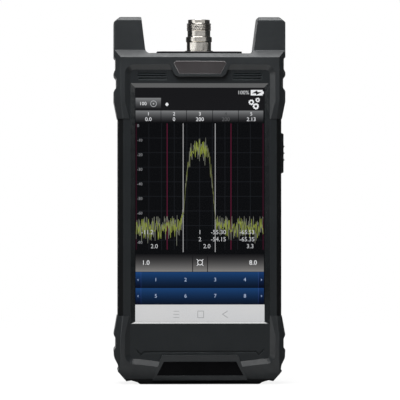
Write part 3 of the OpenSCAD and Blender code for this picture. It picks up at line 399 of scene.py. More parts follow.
# Lighter rim for the badge's rounded edges: a painted highlight
BADGE_EDGE_HIGHLIGHT = moulded("badge_gloss_rim_highlight", (16, 16, 18), (26, 26, 28), 0.1, 0.18, 2.0, 0.002)
BOARD = moulded("solder_mask", (14, 62, 34), (24, 88, 48), 0.3, 0.45, 1.2, 0.03)
BATTERY = moulded("battery_sleeve", (34, 37, 44), (44, 47, 55), 0.35, 0.5, 0.8, 0.02)
INSULATOR = moulded("insulator_white", (222, 221, 214), (236, 235, 228), 0.35, 0.5, 0.6, 0.01)
PLATE_BLACK = moulded("plate_paint", (16, 16, 18), (24, 24, 26), 0.28, 0.38, 0.25, 0.01)
# Lighter copy for the rounded edges: a painted highlight
PLATE_EDGE_HIGHLIGHT = moulded("plate_paint_edge_highlight", (30, 30, 32), (46, 46, 48), 0.24, 0.34, 0.3, 0.008)

# Metals: the two tones, the least and most roughness, and how the tool lines run
NICKEL = plated("nickel_plate", (198, 194, 187), (214, 210, 203), 0.18, 0.25, (0.05, 0.05, 3), 1200, 0.001)
BRASS = plated("gold_plate", (206, 168, 96), (228, 190, 118), 0.16, 0.28, (0.2, 0.2, 2))
STEEL = plated("zinc_steel", (170, 171, 174), (196, 197, 200), 0.2, 0.34, (1, 0.3, 1))
BLACK_STEEL = plated("black_steel", (60, 60, 63), (84, 84, 87), 0.3, 0.45, (1, 0.3, 1))
SHEET = plated("tinned_sheet", (184, 186, 188), (206, 208, 210), 0.28, 0.42, (0.2, 1, 1))
ALUMINIUM = plated("mill_aluminium", (188, 189, 192), (208, 209, 212), 0.3, 0.45, (1, 1, 0.1))


def clear_glass():
    """Cover glass: sharp and clear, with a faint drift of tone."""
    finish = Finish("cover_glass_clear", roughness=0.0, IOR=1.16)
    finish.shader.inputs["Transmission Weight"].default_value = 1.0
    finish.colour((252, 253, 254), (255, 255, 255), finish.noise(per_metre=60, detail=2))
    return finish.material


def lit_picture():
    """The display's light: each point shows its own colour attribute."""
    finish = Finish("display_light", specular=0.0, roughness=0.6)
    finish.shader.inputs["Base Color"].default_value = (0, 0, 0, 1)
    finish.shader.inputs["Emission Strength"].default_value = 1.0
    tint = finish.tree.nodes.new("ShaderNodeAttribute")
    tint.attribute_name = "tint"
    finish.tree.links.new(tint.outputs["Color"], finish.shader.inputs["Emission Color"])
    return finish.material


GLASS = clear_glass()
PICTURE = lit_picture()

NODE_FINISH = {
    SEAL: ["housing_seal", "glass_gasket", "door_seal"],
    GLASS: ["cover_glass"],
    GRILLE: ["speaker_grilles"],
    INNER: ["speakers", "rf_header", "switch_plunger", "key_switch"],
    ALUMINIUM: ["chassis_plate"],
    STEEL: ["chassis_screws", "board_screws", "door_pin", "usb_socket"],
    BLACK_STEEL: ["case_screws", "cover_screws", "plate_screws"],
    BRASS: ["board_standoffs", "rf_lead", "n_jack_contact", "battery_contacts"],
    BOARD: ["main_board", "rf_board", "key_board"],
    SHEET: ["processor_shield", "rf_shield"],
    NICKEL: ["jack_washer", "jack_nut", "n_jack_body"],
    INSULATOR: ["n_jack_insulator"],
    BATTERY: ["battery_pack"],
    BADGE: ["lcd_panel", "badge_plate"],
    NAME_PLATE: ["name_plate"],
    PLATE_BLACK: ["connector_plate"],
    HOUSING: ["front_housing", "rear_cover", "battery_cover"],
    GUARD: ["top_guard"],
    BOOT: ["bottom_boot"],
    KEY: ["side_key", "port_door"],
}
for node_material, node_names in NODE_FINISH.items():
    for node_name in node_names:
        node_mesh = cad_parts[node_name].data
        node_mesh.materials.clear()
        node_mesh.materials.append(node_material)


# Housing, guard, boot and plates, with rounded edges

NEAR = 0.06
ARM_TIP = 0.8
BORE_STEP = 22.0
BORE_REACH = 7.0


def guard_spared(points):
    """The guard's and the boot's edges against the housing, at the arms' thin tips and at the deck's bores.

    The bores lie a step apart from the middle, and each keeps the edges within reach on its outer side.
    """
    x, y, z = points.T
    between = (np.abs(x) < SIDE_X + NEAR) & (z < BODY_TOP + NEAR) & (z > BODY_LOW - NEAR)
    seat = between & (y > FACE_Y - NEAR) & (y < BACK_Y + NEAR)
    tips = (z < GUARD_LOW + ARM_TIP) & (z > BOOT_HIGH - ARM_TIP)
    bores = np.hypot(np.abs(x) % BORE_STEP, y) < BORE_REACH
    return seat | tips | bores


SIDE_BAND = 4.5
SIDE_WALL = 3.4
TOP_BAND = 4.0
LOW_BAND = 12.0
FACE_SKIN = 1.1
BACK_SKIN = 0.2


def shell_spared(points, behind_skin):
    """A shell's edges that nothing shows: inside it, at its ends, and under the guard and the boot."""
    x, _, z = points.T
    covered = (z > GUARD_LOW) | (z < BOOT_HIGH)
    at_side = np.abs(x) > SIDE_X - SIDE_BAND
    inside = behind_skin & (np.abs(x) < SIDE_X - SIDE_WALL)
    at_end = (z > BODY_TOP - TOP_BAND) | (z < BODY_LOW + LOW_BAND)
    return inside | at_end | (covered & at_side)


def front_spared(points):
    """The front housing's hidden edges."""
    return shell_spared(points, points[:, 1] > FACE_Y + FACE_SKIN)


def rear_spared(points):
    """The rear cover's hidden edges."""
    return shell_spared(points, points[:, 1] < BACK_Y - BACK_SKIN)


BEZEL_REACH = 3.2
BEZEL_START = 0.1
BEZEL_LEAN = -0.8
BEZEL_LEAN_SLACK = 0.17
SIDE_LEAN_X = 0.7
SIDE_LEAN_Y = -0.4
RIM_LEAN_Y = -0.7
RIM_LEAN_Z = -0.5


def on_bezel(middles, normals):
    """The slanted faces round the screen."""
    x, y, z = middles.T
    tall = (SCREEN_TOP - SCREEN_LOW) / 2 + BEZEL_REACH
    beside = (np.abs(x) < SCREEN_HALF + BEZEL_REACH) & (np.abs(z - (SCREEN_TOP + SCREEN_LOW) / 2) < tall)
    slanted = np.abs(normals[:, 1] - BEZEL_LEAN) < BEZEL_LEAN_SLACK
    return beside & slanted & (y > FACE_Y + BEZEL_START) & (y < GASKET_Y)


def on_shaded_side_bevel(middles, normals):
    """The slanted faces down the front housing's two sides, which take the darker side finish as painted
    shade.
    """
    slanted = (np.abs(normals[:, 0]) > SIDE_LEAN_X) & (normals[:, 1] < SIDE_LEAN_Y)
    return slanted & (np.abs(middles[:, 0]) > SCREEN_HALF + BEZEL_REACH)


def on_highlighted_rim_slope(middles, normals):
    """The slope under the guard's rim, above the screen, which takes the lighter edge material as a painted
    highlight.
    """
    return (middles[:, 2] > SCREEN_TOP) & (normals[:, 1] < RIM_LEAN_Y) & (normals[:, 2] < RIM_LEAN_Z)


# The slope under the rim gets the lighter edge material: a painted highlight
GUARD_PICKED = [(EDGE_HIGHLIGHT_MATERIAL, on_highlighted_rim_slope)]
# The front shell's side bevels take the darker side finish, which is painted shade
FRONT_FINISHES = [HOUSING, HOUSING_EDGE_HIGHLIGHT, BEZEL, HOUSING_SIDE_SHADE]
FRONT_PICKED = [(FRONT_FINISHES.index(BEZEL), on_bezel), (FRONT_FINISHES.index(HOUSING_SIDE_SHADE), on_shaded_side_bevel)]

# Each call names the node, the piece, its materials, its slot and the radius of its edges
softened("top_guard", "guard", [GUARD, GUARD_EDGE_HIGHLIGHT], 0.6, guard_spared, picked=GUARD_PICKED)
softened("bottom_boot", "boot", [BOOT, BOOT_EDGE_HIGHLIGHT], 0.6, guard_spared)
softened("front_housing", "front_shell", FRONT_FINISHES, 0.3, front_spared, picked=FRONT_PICKED)
softened("rear_cover", "rear_shell", [HOUSING, HOUSING_EDGE_HIGHLIGHT], 0.35, rear_spared)
softened("battery_cover", "battery_lid", [HOUSING, HOUSING_EDGE_HIGHLIGHT], 0.3)
softened("name_plate", "name_plate_bare", [NAME_PLATE, NAME_EDGE_HIGHLIGHT], 0.45)
softened("badge_plate", "badge_plate_bare", [BADGE, BADGE_EDGE_HIGHLIGHT], 0.2)
softened("connector_plate", "jack_plate", [PLATE_BLACK, PLATE_EDGE_HIGHLIGHT], 0.3)
softened("side_key", "key_cap", [KEY, KEY_EDGE_HIGHLIGHT], 0.3, body="key")
softened("port_door", "door_flap", [KEY, KEY_EDGE_HIGHLIGHT], 0.2, body="door")


# Jack

HEX_H = 5.5
COLLAR_H = 3.5
NECK_H = 4.1
THREAD_H = 4.9
FLOOR_H = 1.0
HEX_TOP = JACK_SEAT + HEX_H
COLLAR_TOP = HEX_TOP + COLLAR_H
THREAD_LOW = COLLAR_TOP + NECK_H
THREAD_TOP = THREAD_LOW + THREAD_H
BORE_FLOOR = JACK_SEAT + FLOOR_H

HEX_FLATS = 15.75
CORNER_SHARE = 1.045
FLAT_R = HEX_FLATS / 2
CORNER_R = CORNER_SHARE * FLAT_R
COLLAR_R = 8.45
NECK_R = 7.43
THREAD_R = 7.94
TIP_R = 7.1
BORE_R = 4.1
CORE_R = 2.3
SHANK_R = 6.0
SOFT = 0.25

INCH = 25.4
THREADS_PER_INCH = 24
THREAD_PITCH = INCH / THREADS_PER_INCH
THREAD_DEPTH = 0.3
THREAD_RUN_OUT = 2 * THREAD_PITCH / 3
WAVE_RISE = 1.6
WAVE_CUT = 0.3
RIDGE_ROWS = 90
JACK_STEPS = 180
JACK_SHARP = math.radians(14)


def jack_profile():
    """The closed profile's radii and heights, outside and back down the bore, in three parts.

    The middle part is the thread's plain side, in rows close enough for its ridges.
    """
    below = [
        (CORE_R, JACK_LOW), (SHANK_R - SOFT, JACK_LOW), (SHANK_R, JACK_LOW + SOFT), (SHANK_R, JACK_SEAT),
        (CORNER_R - SOFT, JACK_SEAT), (CORNER_R, JACK_SEAT + SOFT), (CORNER_R, HEX_TOP - SOFT),
        (FLAT_R + SOFT / 4, HEX_TOP - SOFT / 2), (FLAT_R, HEX_TOP),
        (COLLAR_R - SOFT, HEX_TOP + SOFT), (COLLAR_R, HEX_TOP + 2 * SOFT), (COLLAR_R, COLLAR_TOP - SOFT),
        (COLLAR_R - SOFT, COLLAR_TOP), (NECK_R + SOFT, COLLAR_TOP), (NECK_R, COLLAR_TOP + SOFT),
        (NECK_R, THREAD_LOW - SOFT / 2), (NECK_R + SOFT / 2, THREAD_LOW),
        (THREAD_R - SOFT, THREAD_LOW + SOFT / 2),
    ]
    ridge_z = np.linspace(THREAD_LOW + SOFT, THREAD_TOP - SOFT, RIDGE_ROWS)
    ridge = np.stack([np.full(RIDGE_ROWS, THREAD_R), ridge_z], axis=1)
    above = [
        (TIP_R + SOFT / 2, THREAD_TOP - SOFT / 2), (TIP_R, THREAD_TOP), (TIP_R, JACK_TOP - SOFT),
        (TIP_R - SOFT / 2, JACK_TOP - SOFT / 4), (TIP_R - 2 * SOFT, JACK_TOP),
        (BORE_R + 2 * SOFT, JACK_TOP), (BORE_R, JACK_TOP - 2 * SOFT),
        (BORE_R, BORE_FLOOR), (CORE_R, BORE_FLOOR),
    ]
    return np.array(below), ridge, np.array(above)


def jack_body():
    """The jack's body, turned about its axis.

    The radius is that of the profile. On the hexagon, whose corners are turned off, it is the lesser of the
    profile's and the flats' (half the width over the cosine of the angle from the flat's middle). On the
    thread it loses a wave of height along the axis less one pitch for each turn: a triangle wave cut off at
    both ends, so that crests and roots are flat. The wave dies away at the thread's two ends.
    """
    below, ridge, above = jack_profile()
    profile = np.concatenate([below, ridge, above])
    row = np.arange(len(profile))
    threaded = (row >= len(below)) & (row < len(below) + len(ridge))
    on_hexagon = (profile[:, 1] >= JACK_SEAT) & (profile[:, 1] < HEX_TOP) & (row < len(below))
    angle = np.linspace(0, TURN, JACK_STEPS, endpoint=False)
    r, z = (np.repeat(values[:, None], JACK_STEPS, axis=1) for values in profile.T)
    sixth = TURN / 6
    flats = FLAT_R / np.cos((angle + sixth / 2) % sixth - sixth / 2)
    r = np.where(on_hexagon[:, None], np.minimum(r, flats), r)
    phase = (z / THREAD_PITCH - angle / TURN) % 1
    wave = np.clip(WAVE_RISE * np.abs(2 * phase - 1) - WAVE_CUT, 0, 1)
    run_out = np.clip(np.minimum(z - THREAD_LOW, THREAD_TOP - z) / THREAD_RUN_OUT, 0, 1)
    r = np.where(threaded[:, None], r - THREAD_DEPTH * run_out * wave, r)
    points = np.stack([r * np.cos(angle), r * np.sin(angle), z], axis=-1).reshape(-1, 3)
    faces = grid_quads(len(profile), JACK_STEPS, close_rows=True, close_columns=True)
    mesh = surface("jack_turned", points, faces.tolist())
    mesh.polygons.foreach_set("use_smooth", np.ones(len(mesh.polygons), bool))
    mesh.set_sharp_from_angle(angle=JACK_SHARP)
    add_piece("jack_turned", mesh, [NICKEL], "case", ["n_jack_body"])


jack_body()


# Display

PICTURE_DEPTH = 0.3
LAYER = 0.03
GRADIENT_ROWS = 7
RING_STEPS = 48
FIGURE_STEPS = 3


class Picture:
    """Flat patches of coloured light behind the glass.

    A patch's place is (u, v): millimetres from the screen's left edge and down from its top. Higher layers
    lie nearer to the glass.
    """

    def __init__(self):
        self.points = []
        self.faces = []
        self.tints = []
        self.count = 0

    def add(self, uv, faces, tint, layer):
        """Triangles between points on a layer, with one linear colour or one for each point."""
        uv = np.asarray(uv, float)
        y = np.full(len(uv), PANEL_LOW[1] + PICTURE_DEPTH - LAYER * (layer + 1))
        self.points.append(np.stack([uv[:, 0] - SCREEN_HALF, y, SCREEN_TOP - uv[:, 1]], axis=1))
        self.faces.append(np.asarray(faces) + self.count)
        self.tints.append(np.broadcast_to(np.asarray(tint, float), (len(uv), 3)))
        self.count += len(uv)

    def panel(self, left, top, right, low, upper, lower=None, layer=0):
        """A rectangle whose colour, as displayed, runs evenly from its upper edge to its lower one."""
        share = np.linspace(0, 1, 2 if lower is None else GRADIENT_ROWS)
        tones = np.outer(1 - share, upper) + np.outer(share, upper if lower is None else lower)
        v = top + (low - top) * share
        uv = np.stack([np.column_stack([np.full(len(v), u), v]) for u in (left, right)], axis=1)
        quads = grid_quads(len(v), 2)
        faces = np.concatenate([quads[:, [0, 2, 1]], quads[:, [0, 3, 2]]])
        self.add(uv.reshape(-1, 2), faces, np.repeat(linear(tones), 2, axis=0), layer)

    def strokes(self, starts, ends, width, colour, layer):
        """Straight strokes: each is a strip as wide as given, half to each side of its line."""
        starts = np.asarray(starts, float)
        ends = np.asarray(ends, float)
        along = ends - starts
        along /= np.maximum(np.linalg.norm(along, axis=1, keepdims=True), TINY)
        side = np.stack([-along[:, 1], along[:, 0]], axis=1) * width / 2
        uv = np.stack([starts - side, ends - side, ends + side, starts + side], axis=1).reshape(-1, 2)
        first = 4 * np.arange(len(starts))[:, None]
        faces = np.concatenate([first + (0, 2, 1), first + (0, 3, 2)])
        self.add(uv, faces, linear(colour), layer)

    def line(self, path, width, colour, layer=3):
        """Strokes from each point of a path to the next."""
        path = np.asarray(path, float)
        self.strokes(path[:-1], path[1:], width, colour, layer)

    def ring(self, u, v, inner, outer, colour, layer=4, teeth=0, tooth=0.0):
        """A ring between two radii, whose outer one swells by a square wave for each tooth."""
        angle = np.linspace(0, TURN, RING_STEPS, endpoint=False)
        rim = outer + tooth * (np.sin(teeth * angle) > 0)
        radius = np.stack([np.full(RING_STEPS, inner), rim])
        uv = np.stack([u + radius * np.cos(angle), v + radius * np.sin(angle)], axis=-1).reshape(-1, 2)
        quads = grid_quads(2, RING_STEPS, close_columns=True)
        faces = np.concatenate([quads[:, [0, 1, 2]], quads[:, [0, 2, 3]]])
        self.add(uv, faces, linear(colour), layer)

    def number(self, text, u, v, size, colour, align="CENTER", layer=5):
        """Figures in Blender's own face, as triangles."""
        curve = bpy.data.curves.new("figures", "FONT")
        curve.body = text
        curve.size = size
        curve.align_x = align
        curve.align_y = "CENTER"
        curve.resolution_u = FIGURE_STEPS
        figures = bpy.data.objects.new("figures", curve)
        bpy.context.scene.collection.objects.link(figures)
        shown = figures.evaluated_get(bpy.context.evaluated_depsgraph_get())
        mesh = bpy.data.meshes.new_from_object(shown)
        mesh.calc_loop_triangles()
        points = read(mesh.vertices, "co", 3).astype(float)
        faces = read(mesh.loop_triangles, "vertices", 3, np.int32)
        uv = np.stack([u + points[:, 0], v - points[:, 1]], axis=1)
        self.add(uv, faces, linear(colour), layer)
        bpy.data.objects.remove(figures)
        bpy.data.meshes.remove(mesh)
        bpy.data.curves.remove(curve)

    def piece(self):
        """All the patches as one piece, with their colours as an attribute."""
        points, faces, tints = (np.concatenate(a) for a in (self.points, self.faces, self.tints))
        mesh = surface("screen_picture", points, faces.tolist())
        tint = mesh.attributes.new("tint", "FLOAT_COLOR", "POINT")
        covered = np.column_stack([tints, np.ones(len(tints))])
        tint.data.foreach_set("color", covered.astype(np.float32).ravel())
        add_piece("screen_picture", mesh, [PICTURE], "case")


WIDE = 2 * SCREEN_HALF
TALL = SCREEN_TOP - SCREEN_LOW
MARGIN = 0.4
WHITE = (235, 236, 238)
PALE = (178, 180, 182)

# Where the display's rows begin and end, below the screen's top edge
STATUS_LOW = 14.6
HEADER_TOP = 14.8
HEADER_LOW = 22.4
PLOT_TOP = 23.1
PLOT_LOW = 106.3
TUNING_TOP = 107.6
TUNING_LOW = 118.9
KEY_ROWS = ((119.1, 129.3), (129.5, 139.9))
NAVIGATION_TOP = 140.2


def status_rows(picture):
    """The dark band at the top: charge, settings, a tab and a marker."""
    picture.panel(0, 0, WIDE, TALL, (13, 14, 16))
    picture.panel(0, 0, WIDE, STATUS_LOW, (25, 25, 27), (26, 26, 28), layer=1)
    cell = (74.9, 1.4, 82.6, 5.0)
    cell_tip = (82.6, 2.4, 83.3, 4.0)
    for outline in (cell, cell_tip):
        picture.panel(*outline, WHITE, layer=3)
    bolt = [(75.6, 3.7), (79.0, 1.7), (79.3, 2.8), (82.0, 2.7), (78.5, 4.7), (78.2, 3.6)]
    picture.add(bolt, [(0, 1, 5), (1, 2, 5), (2, 4, 5), (2, 3, 4)], linear((20, 20, 22)), layer=4)
    picture.number("100%", 73.9, 3.2, size=3.5, colour=(212, 213, 215), align="RIGHT")
    for u, v, radius in ((75.3, 9.4, 1.55), (79.4, 7.9, 1.2), (78.2, 12.0, 1.75)):
        picture.ring(u, v, radius / 2, radius, WHITE, teeth=9, tooth=0.35)
    tab = (MARGIN, 6.6, 16.8, 13.3)
    picture.panel(*tab, (128, 129, 130), (38, 38, 40), layer=2)
    for inner, outer in ((1.7, 2.05), (0.0, 0.5)):
        picture.ring(12.0, 10.4, inner, outer, PALE)
    picture.number("100", 5.2, 10.4, size=3.2, colour=WHITE)
    marker = [(20.7, 9.5), (21.9, 10.8), (20.7, 12.1), (19.5, 10.8)]
    picture.add(marker, [(0, 2, 1), (0, 3, 2)], linear(WHITE), layer=4)


def header_row(picture):
    """Five grey cells with two rows of figures each; the fourth is dimmed."""
    edges = (0.4, 17.0, 33.5, 50.4, 67.1, 83.4)
    figures = (("1", "0.0"), ("2", "0"), ("3", "200"), ("4", "200"), ("5", "2.13"))
    gap = 0.35
    dimmed = 3
    for cell, (above, below) in enumerate(figures):
        left = edges[cell]
        right = edges[cell + 1]
        middle = (left + right) / 2
        picture.panel(left, HEADER_TOP, right - gap, HEADER_LOW, (122, 123, 124), (18, 18, 20), layer=2)
        upper, lower = ((66, 67, 68), (96, 97, 98)) if cell == dimmed else (WHITE, WHITE)
        picture.number(above, middle, 17.0, size=3.2, colour=upper)
        picture.number(below, middle, 20.5, size=3.5, colour=lower)


PLOT_LEFT = 0.8
GRID_SHORT = 1.6
GRID_LOW = PLOT_LOW - GRID_SHORT
SCALE_DROP = 1.5
DIVISION_U = 8.2
DIVISION_V = 9.43
LEVELS = 8
COLUMNS = 11


def plot_grid(picture):
    """The plot's faint divisions, the scale at its left and the four dark red and two pale marker lines."""
    levels = PLOT_TOP + DIVISION_V * np.arange(1, LEVELS + 1)
    columns = PLOT_LEFT + DIVISION_U * np.arange(COLUMNS)
    left, right = (np.full(LEVELS, columns[k]) for k in (0, -1))
    top, low = (np.full(COLUMNS, v) for v in (PLOT_TOP, GRID_LOW))
    across = (np.column_stack([left, levels]), np.column_stack([right, levels]))
    down = (np.column_stack([columns, top]), np.column_stack([columns, low]))
    for starts, ends in (across, down):
        picture.strokes(starts, ends, width=0.3, colour=(31, 33, 37), layer=1)
    for step in range(LEVELS + 1):
        text = "0" if step == 0 else f"-{10 * step}"
        v = PLOT_TOP + SCALE_DROP + DIVISION_V * step
        picture.number(text, 1.4, v, size=2.6, colour=(142, 143, 146), align="LEFT", layer=4)
    red_half = 0.27
    for u, tone in ((0.85, (48, 15, 29)), (20.8, (88, 25, 48)), (62.1, (88, 25, 48)), (82.9, (60, 18, 35))):
        picture.panel(u - red_half, PLOT_TOP, u + red_half, GRID_LOW, tone, layer=2)
    pale_half = 0.24
    for u in (31.15, 51.9):
        picture.panel(u - pale_half, PLOT_TOP, u + pale_half, PLOT_LOW, (160, 160, 161), layer=3)


TRACE_RIGHT = 82.9
TRACE_POINTS = 330
TRACE_SEED = 24
STEEP = 3


def traces(picture):
    """Two traces over one another: a broad flat peak between the pale markers, on a floor of noise.

    Each level is read between knots along the width, plus clipped noise whose reach is read between knots
    too. The upper trace is drawn dimmer where its level is steep.
    """
    knots = np.array([
        (0.8, 90.2, 6.5), (26.5, 89.5, 6.5), (29.5, 86.5, 5.5), (31.2, 81.5, 3.5), (32.2, 70.0, 2.4),
        (33.8, 54.0, 4.0), (35.8, 42.5, 6.0), (38.2, 38.8, 6.0), (46.0, 38.8, 6.5), (48.2, 45.5, 6.5),
        (49.8, 58.0, 4.0), (51.4, 78.0, 2.0), (52.2, 87.5, 5.0), (55.5, 89.5, 6.5), (83.0, 89.8, 6.5),
    ])
    draw = np.random.default_rng(TRACE_SEED)
    u = np.linspace(PLOT_LEFT, TRACE_RIGHT, TRACE_POINTS)
    level = np.interp(u, knots[:, 0], knots[:, 1])
    reach = np.interp(u, knots[:, 0], knots[:, 2])

    def noisy(share, middle, spread, most, lowest):
        noise = np.clip(draw.normal(middle, spread, u.size), -1.0, most)
        return np.column_stack([u, np.minimum(level + share * reach * noise, lowest)])

    grey = noisy(share=1.0, middle=0.15, spread=0.75, most=2.1, lowest=PLOT_LOW - 2)
    green = noisy(share=0.8, middle=0.05, spread=0.65, most=1.6, lowest=PLOT_LOW - 3)
    picture.line(grey, width=0.25, colour=(112, 114, 102), layer=4)
    steep = np.abs(np.diff(level) / np.diff(u)) > STEEP
    starts, ends = green[:-1], green[1:]
    picture.strokes(starts[steep], ends[steep], width=0.24, colour=(96, 100, 56), layer=5)
    picture.strokes(starts[~steep], ends[~steep], width=0.27, colour=(134, 144, 62), layer=5)


def readings(picture):
    """Rows of measured figures over the lower part of the plot."""
    for v, figures in (
        (93.5, ((8.0, "-11.2"), (42.0, "1"), (54.0, "-55.30"), (72.5, "-65.53"))),
        (98.1, ((42.0, "2"), (54.0, "-54.15"), (72.5, "-65.35"))),
        (102.6, ((12.5, "2.0"), (46.5, "2.0"), (74.5, "3.3"))),
    ):
        for u, text in figures:
            picture.number(text, u, v, size=3.9, colour=(196, 197, 199), layer=6)


def tuning_bar(picture):
    """The grey bar under the plot: two values and a mark between them."""
    picture.panel(MARGIN, TUNING_TOP, WIDE - MARGIN, TUNING_LOW, (20, 20, 22), (128, 126, 124), layer=2)
    rule_half = 0.25
    for u in (37.3, 46.9):
        picture.panel(u - rule_half, TUNING_TOP + 1, u + rule_half, TUNING_LOW, (26, 26, 28), layer=3)
    for text, u in (("1.0", 7.0), ("8.0", 76.4)):
        picture.number(text, u, 113.2, size=4.2, colour=WHITE)
    mark = np.array((42.1, 113.0))
    outer = 1.75
    picture.ring(*mark, 1.35, outer, WHITE)
    tick = np.array([(-1, -1), (1, -1), (1, 1), (-1, 1)]) * 1.2
    picture.strokes(mark + tick, mark + outer * tick, width=0.4, colour=WHITE, layer=4)


KEYS_IN_ROW = 4
FIRST_KEY_U = 13.5
KEY_STEP = 19.2
ARROW_CELL = 3.9
ARROW_U = 2.4
ARROW_LONG = 0.8
ARROW_HALF = 0.6


def soft_keys(picture):
    """Two rows of blue keys with plain numbers, and an arrow cell at each end of a row."""
    rule_half = 0.12
    for row, (top, low) in enumerate(KEY_ROWS):
        picture.panel(MARGIN, top, WIDE - MARGIN, low, (28, 64, 112), (13, 22, 38), layer=2)
        picture.panel(MARGIN, top, ARROW_CELL, low, (28, 68, 122), (10, 13, 28), layer=3)
        picture.panel(WIDE - ARROW_CELL, top, WIDE - MARGIN, low, (26, 58, 108), (9, 12, 26), layer=3)
        for u in (ARROW_CELL, WIDE - ARROW_CELL):
            picture.panel(u - rule_half, top, u + rule_half, low, (52, 84, 146), (30, 42, 84), layer=4)
        middle = (top + low) / 2
        for tail, tip in ((ARROW_U, ARROW_U - ARROW_LONG), (WIDE - ARROW_U, WIDE - ARROW_U + ARROW_LONG)):
            arrow = [(tail, middle - ARROW_HALF), (tip, middle), (tail, middle + ARROW_HALF)]
            picture.line(arrow, width=0.3, colour=(150, 170, 206), layer=5)
        for place in range(KEYS_IN_ROW):
            text = str(1 + KEYS_IN_ROW * row + place)
            picture.number(text, FIRST_KEY_U + KEY_STEP * place, middle, size=3.4, colour=(172, 188, 216))


def navigation_bar(picture):
    """The pale bar at the bottom with three thin marks."""
    picture.panel(0.2, NAVIGATION_TOP, WIDE, TALL, (208, 208, 208), (203, 203, 204), layer=2)
    ink = (126, 127, 129)
    rule_half = 0.12
    for v in (144.5, 146.5, 148.5):
        picture.panel(24.9, v - rule_half, 28.6, v + rule_half, ink, layer=3)
    square = [(40.6, 144.4), (44.4, 144.4), (44.4, 148.7), (40.6, 148.7), (40.6, 144.4)]
    picture.line(square, width=0.28, colour=ink)
    arrow = [(60.0, 144.3), (56.6, 146.5), (60.0, 148.7)]
    picture.line(arrow, width=0.3, colour=ink)


def display():
    """The whole picture, drawn from its top row to its bottom one."""
    picture = Picture()
    rows = (status_rows, header_row, plot_grid, traces, readings, tuning_bar, soft_keys, navigation_bar)
    for draw_row in rows:
        draw_row(picture)
    picture.piece()


display()

TRAY_LIP = 0.7
TRAY_ROUND = 1.2
TRAY_STEP = 0.2
TRAY_BACK_BEVEL = 0.6
TRAY_SUNK = 0.02
TRAY_MIDDLE = 0.01
CORNER_STEPS = 7
LEAST_ROUND = 0.005


def panel_tray():
    """The display panel behind the picture: rounded rectangles at set depths and insets, joined in turn.

    Each ring is a rectangle whose corners are quarter circles. The front is sunk so that the picture lies in
    it, and both ends close on a narrow ring.
    """
    half_x = PANEL_HIGH[0]
    half_z = (PANEL_HIGH[2] - PANEL_LOW[2]) / 2
    middle = (PANEL_HIGH[2] + PANEL_LOW[2]) / 2
    low = PANEL_LOW[1]
    high = PANEL_HIGH[1]
    inner = half_x - TRAY_MIDDLE
    rings = np.array([
        (inner, low + PICTURE_DEPTH), (TRAY_LIP, low + PICTURE_DEPTH), (TRAY_LIP, low + TRAY_SUNK),
        (TRAY_STEP, low + TRAY_SUNK), (0, low + TRAY_STEP), (0, high - TRAY_BACK_BEVEL),
        (TRAY_BACK_BEVEL, high), (inner, high),
    ])
    quarter = np.linspace(0, TURN / 4, CORNER_STEPS)
    angle = np.concatenate([quarter + TURN / 4 * k for k in range(4)])
    sign = np.repeat(np.array([(1, 1), (-1, 1), (-1, -1), (1, -1)]), CORNER_STEPS, axis=0)
    inset = rings[:, 0, None]
    r = np.maximum(TRAY_ROUND - inset, LEAST_ROUND)
    x = sign[:, 0] * (half_x - inset - r) + r * np.cos(angle)
    z = sign[:, 1] * (half_z - inset - r) + r * np.sin(angle) + middle
    y = np.repeat(rings[:, 1, None], len(angle), axis=1)
    points = np.stack([x, y, z], axis=-1).reshape(-1, 3)
    walls = grid_quads(len(rings), len(angle), close_columns=True)
    front = np.arange(len(angle))
    back = front + (len(rings) - 1) * len(angle)
    mesh = surface("panel_tray", points, walls.tolist() + [front[::-1].tolist(), back.tolist()])
    work = bmesh.new()
    work.from_mesh(mesh)
    bmesh.ops.recalc_face_normals(work, faces=work.faces)
    work.to_mesh(mesh)
    work.free()
    add_piece("panel_tray", mesh, [BADGE], "case", ["lcd_panel"])


panel_tray()


# Studio

def combined(tree, operation, one, two):
    """Two values put together by one sum."""
    sum_node = tree.nodes.new("ShaderNodeMath")
    sum_node.operation = operation
    tree.links.new(one, sum_node.inputs[0])
    tree.links.new(two, sum_node.inputs[1])
    return sum_node.outputs["Value"]


def in_reflections(tree, ray):
    """1 for a ray that was mirrored or went through glass, and else 0."""
    return combined(tree, "MAXIMUM", ray["Is Glossy Ray"], ray["Is Transmission Ray"])


FLOOR_REACH = 4.0
FLOOR_TONE = 0.86
FLOOR_BOUNCE = 0.1
GLOW_AWAY = (0.5, 1.3)
GLOW_SHARE = (0.85, 1.0)
CARD_BACK_Y = (-0.06, -0.04)
CARD_FRONT_Y = (-0.42, -0.36)
CARD_SIDE_X = (0.1, 0.16)


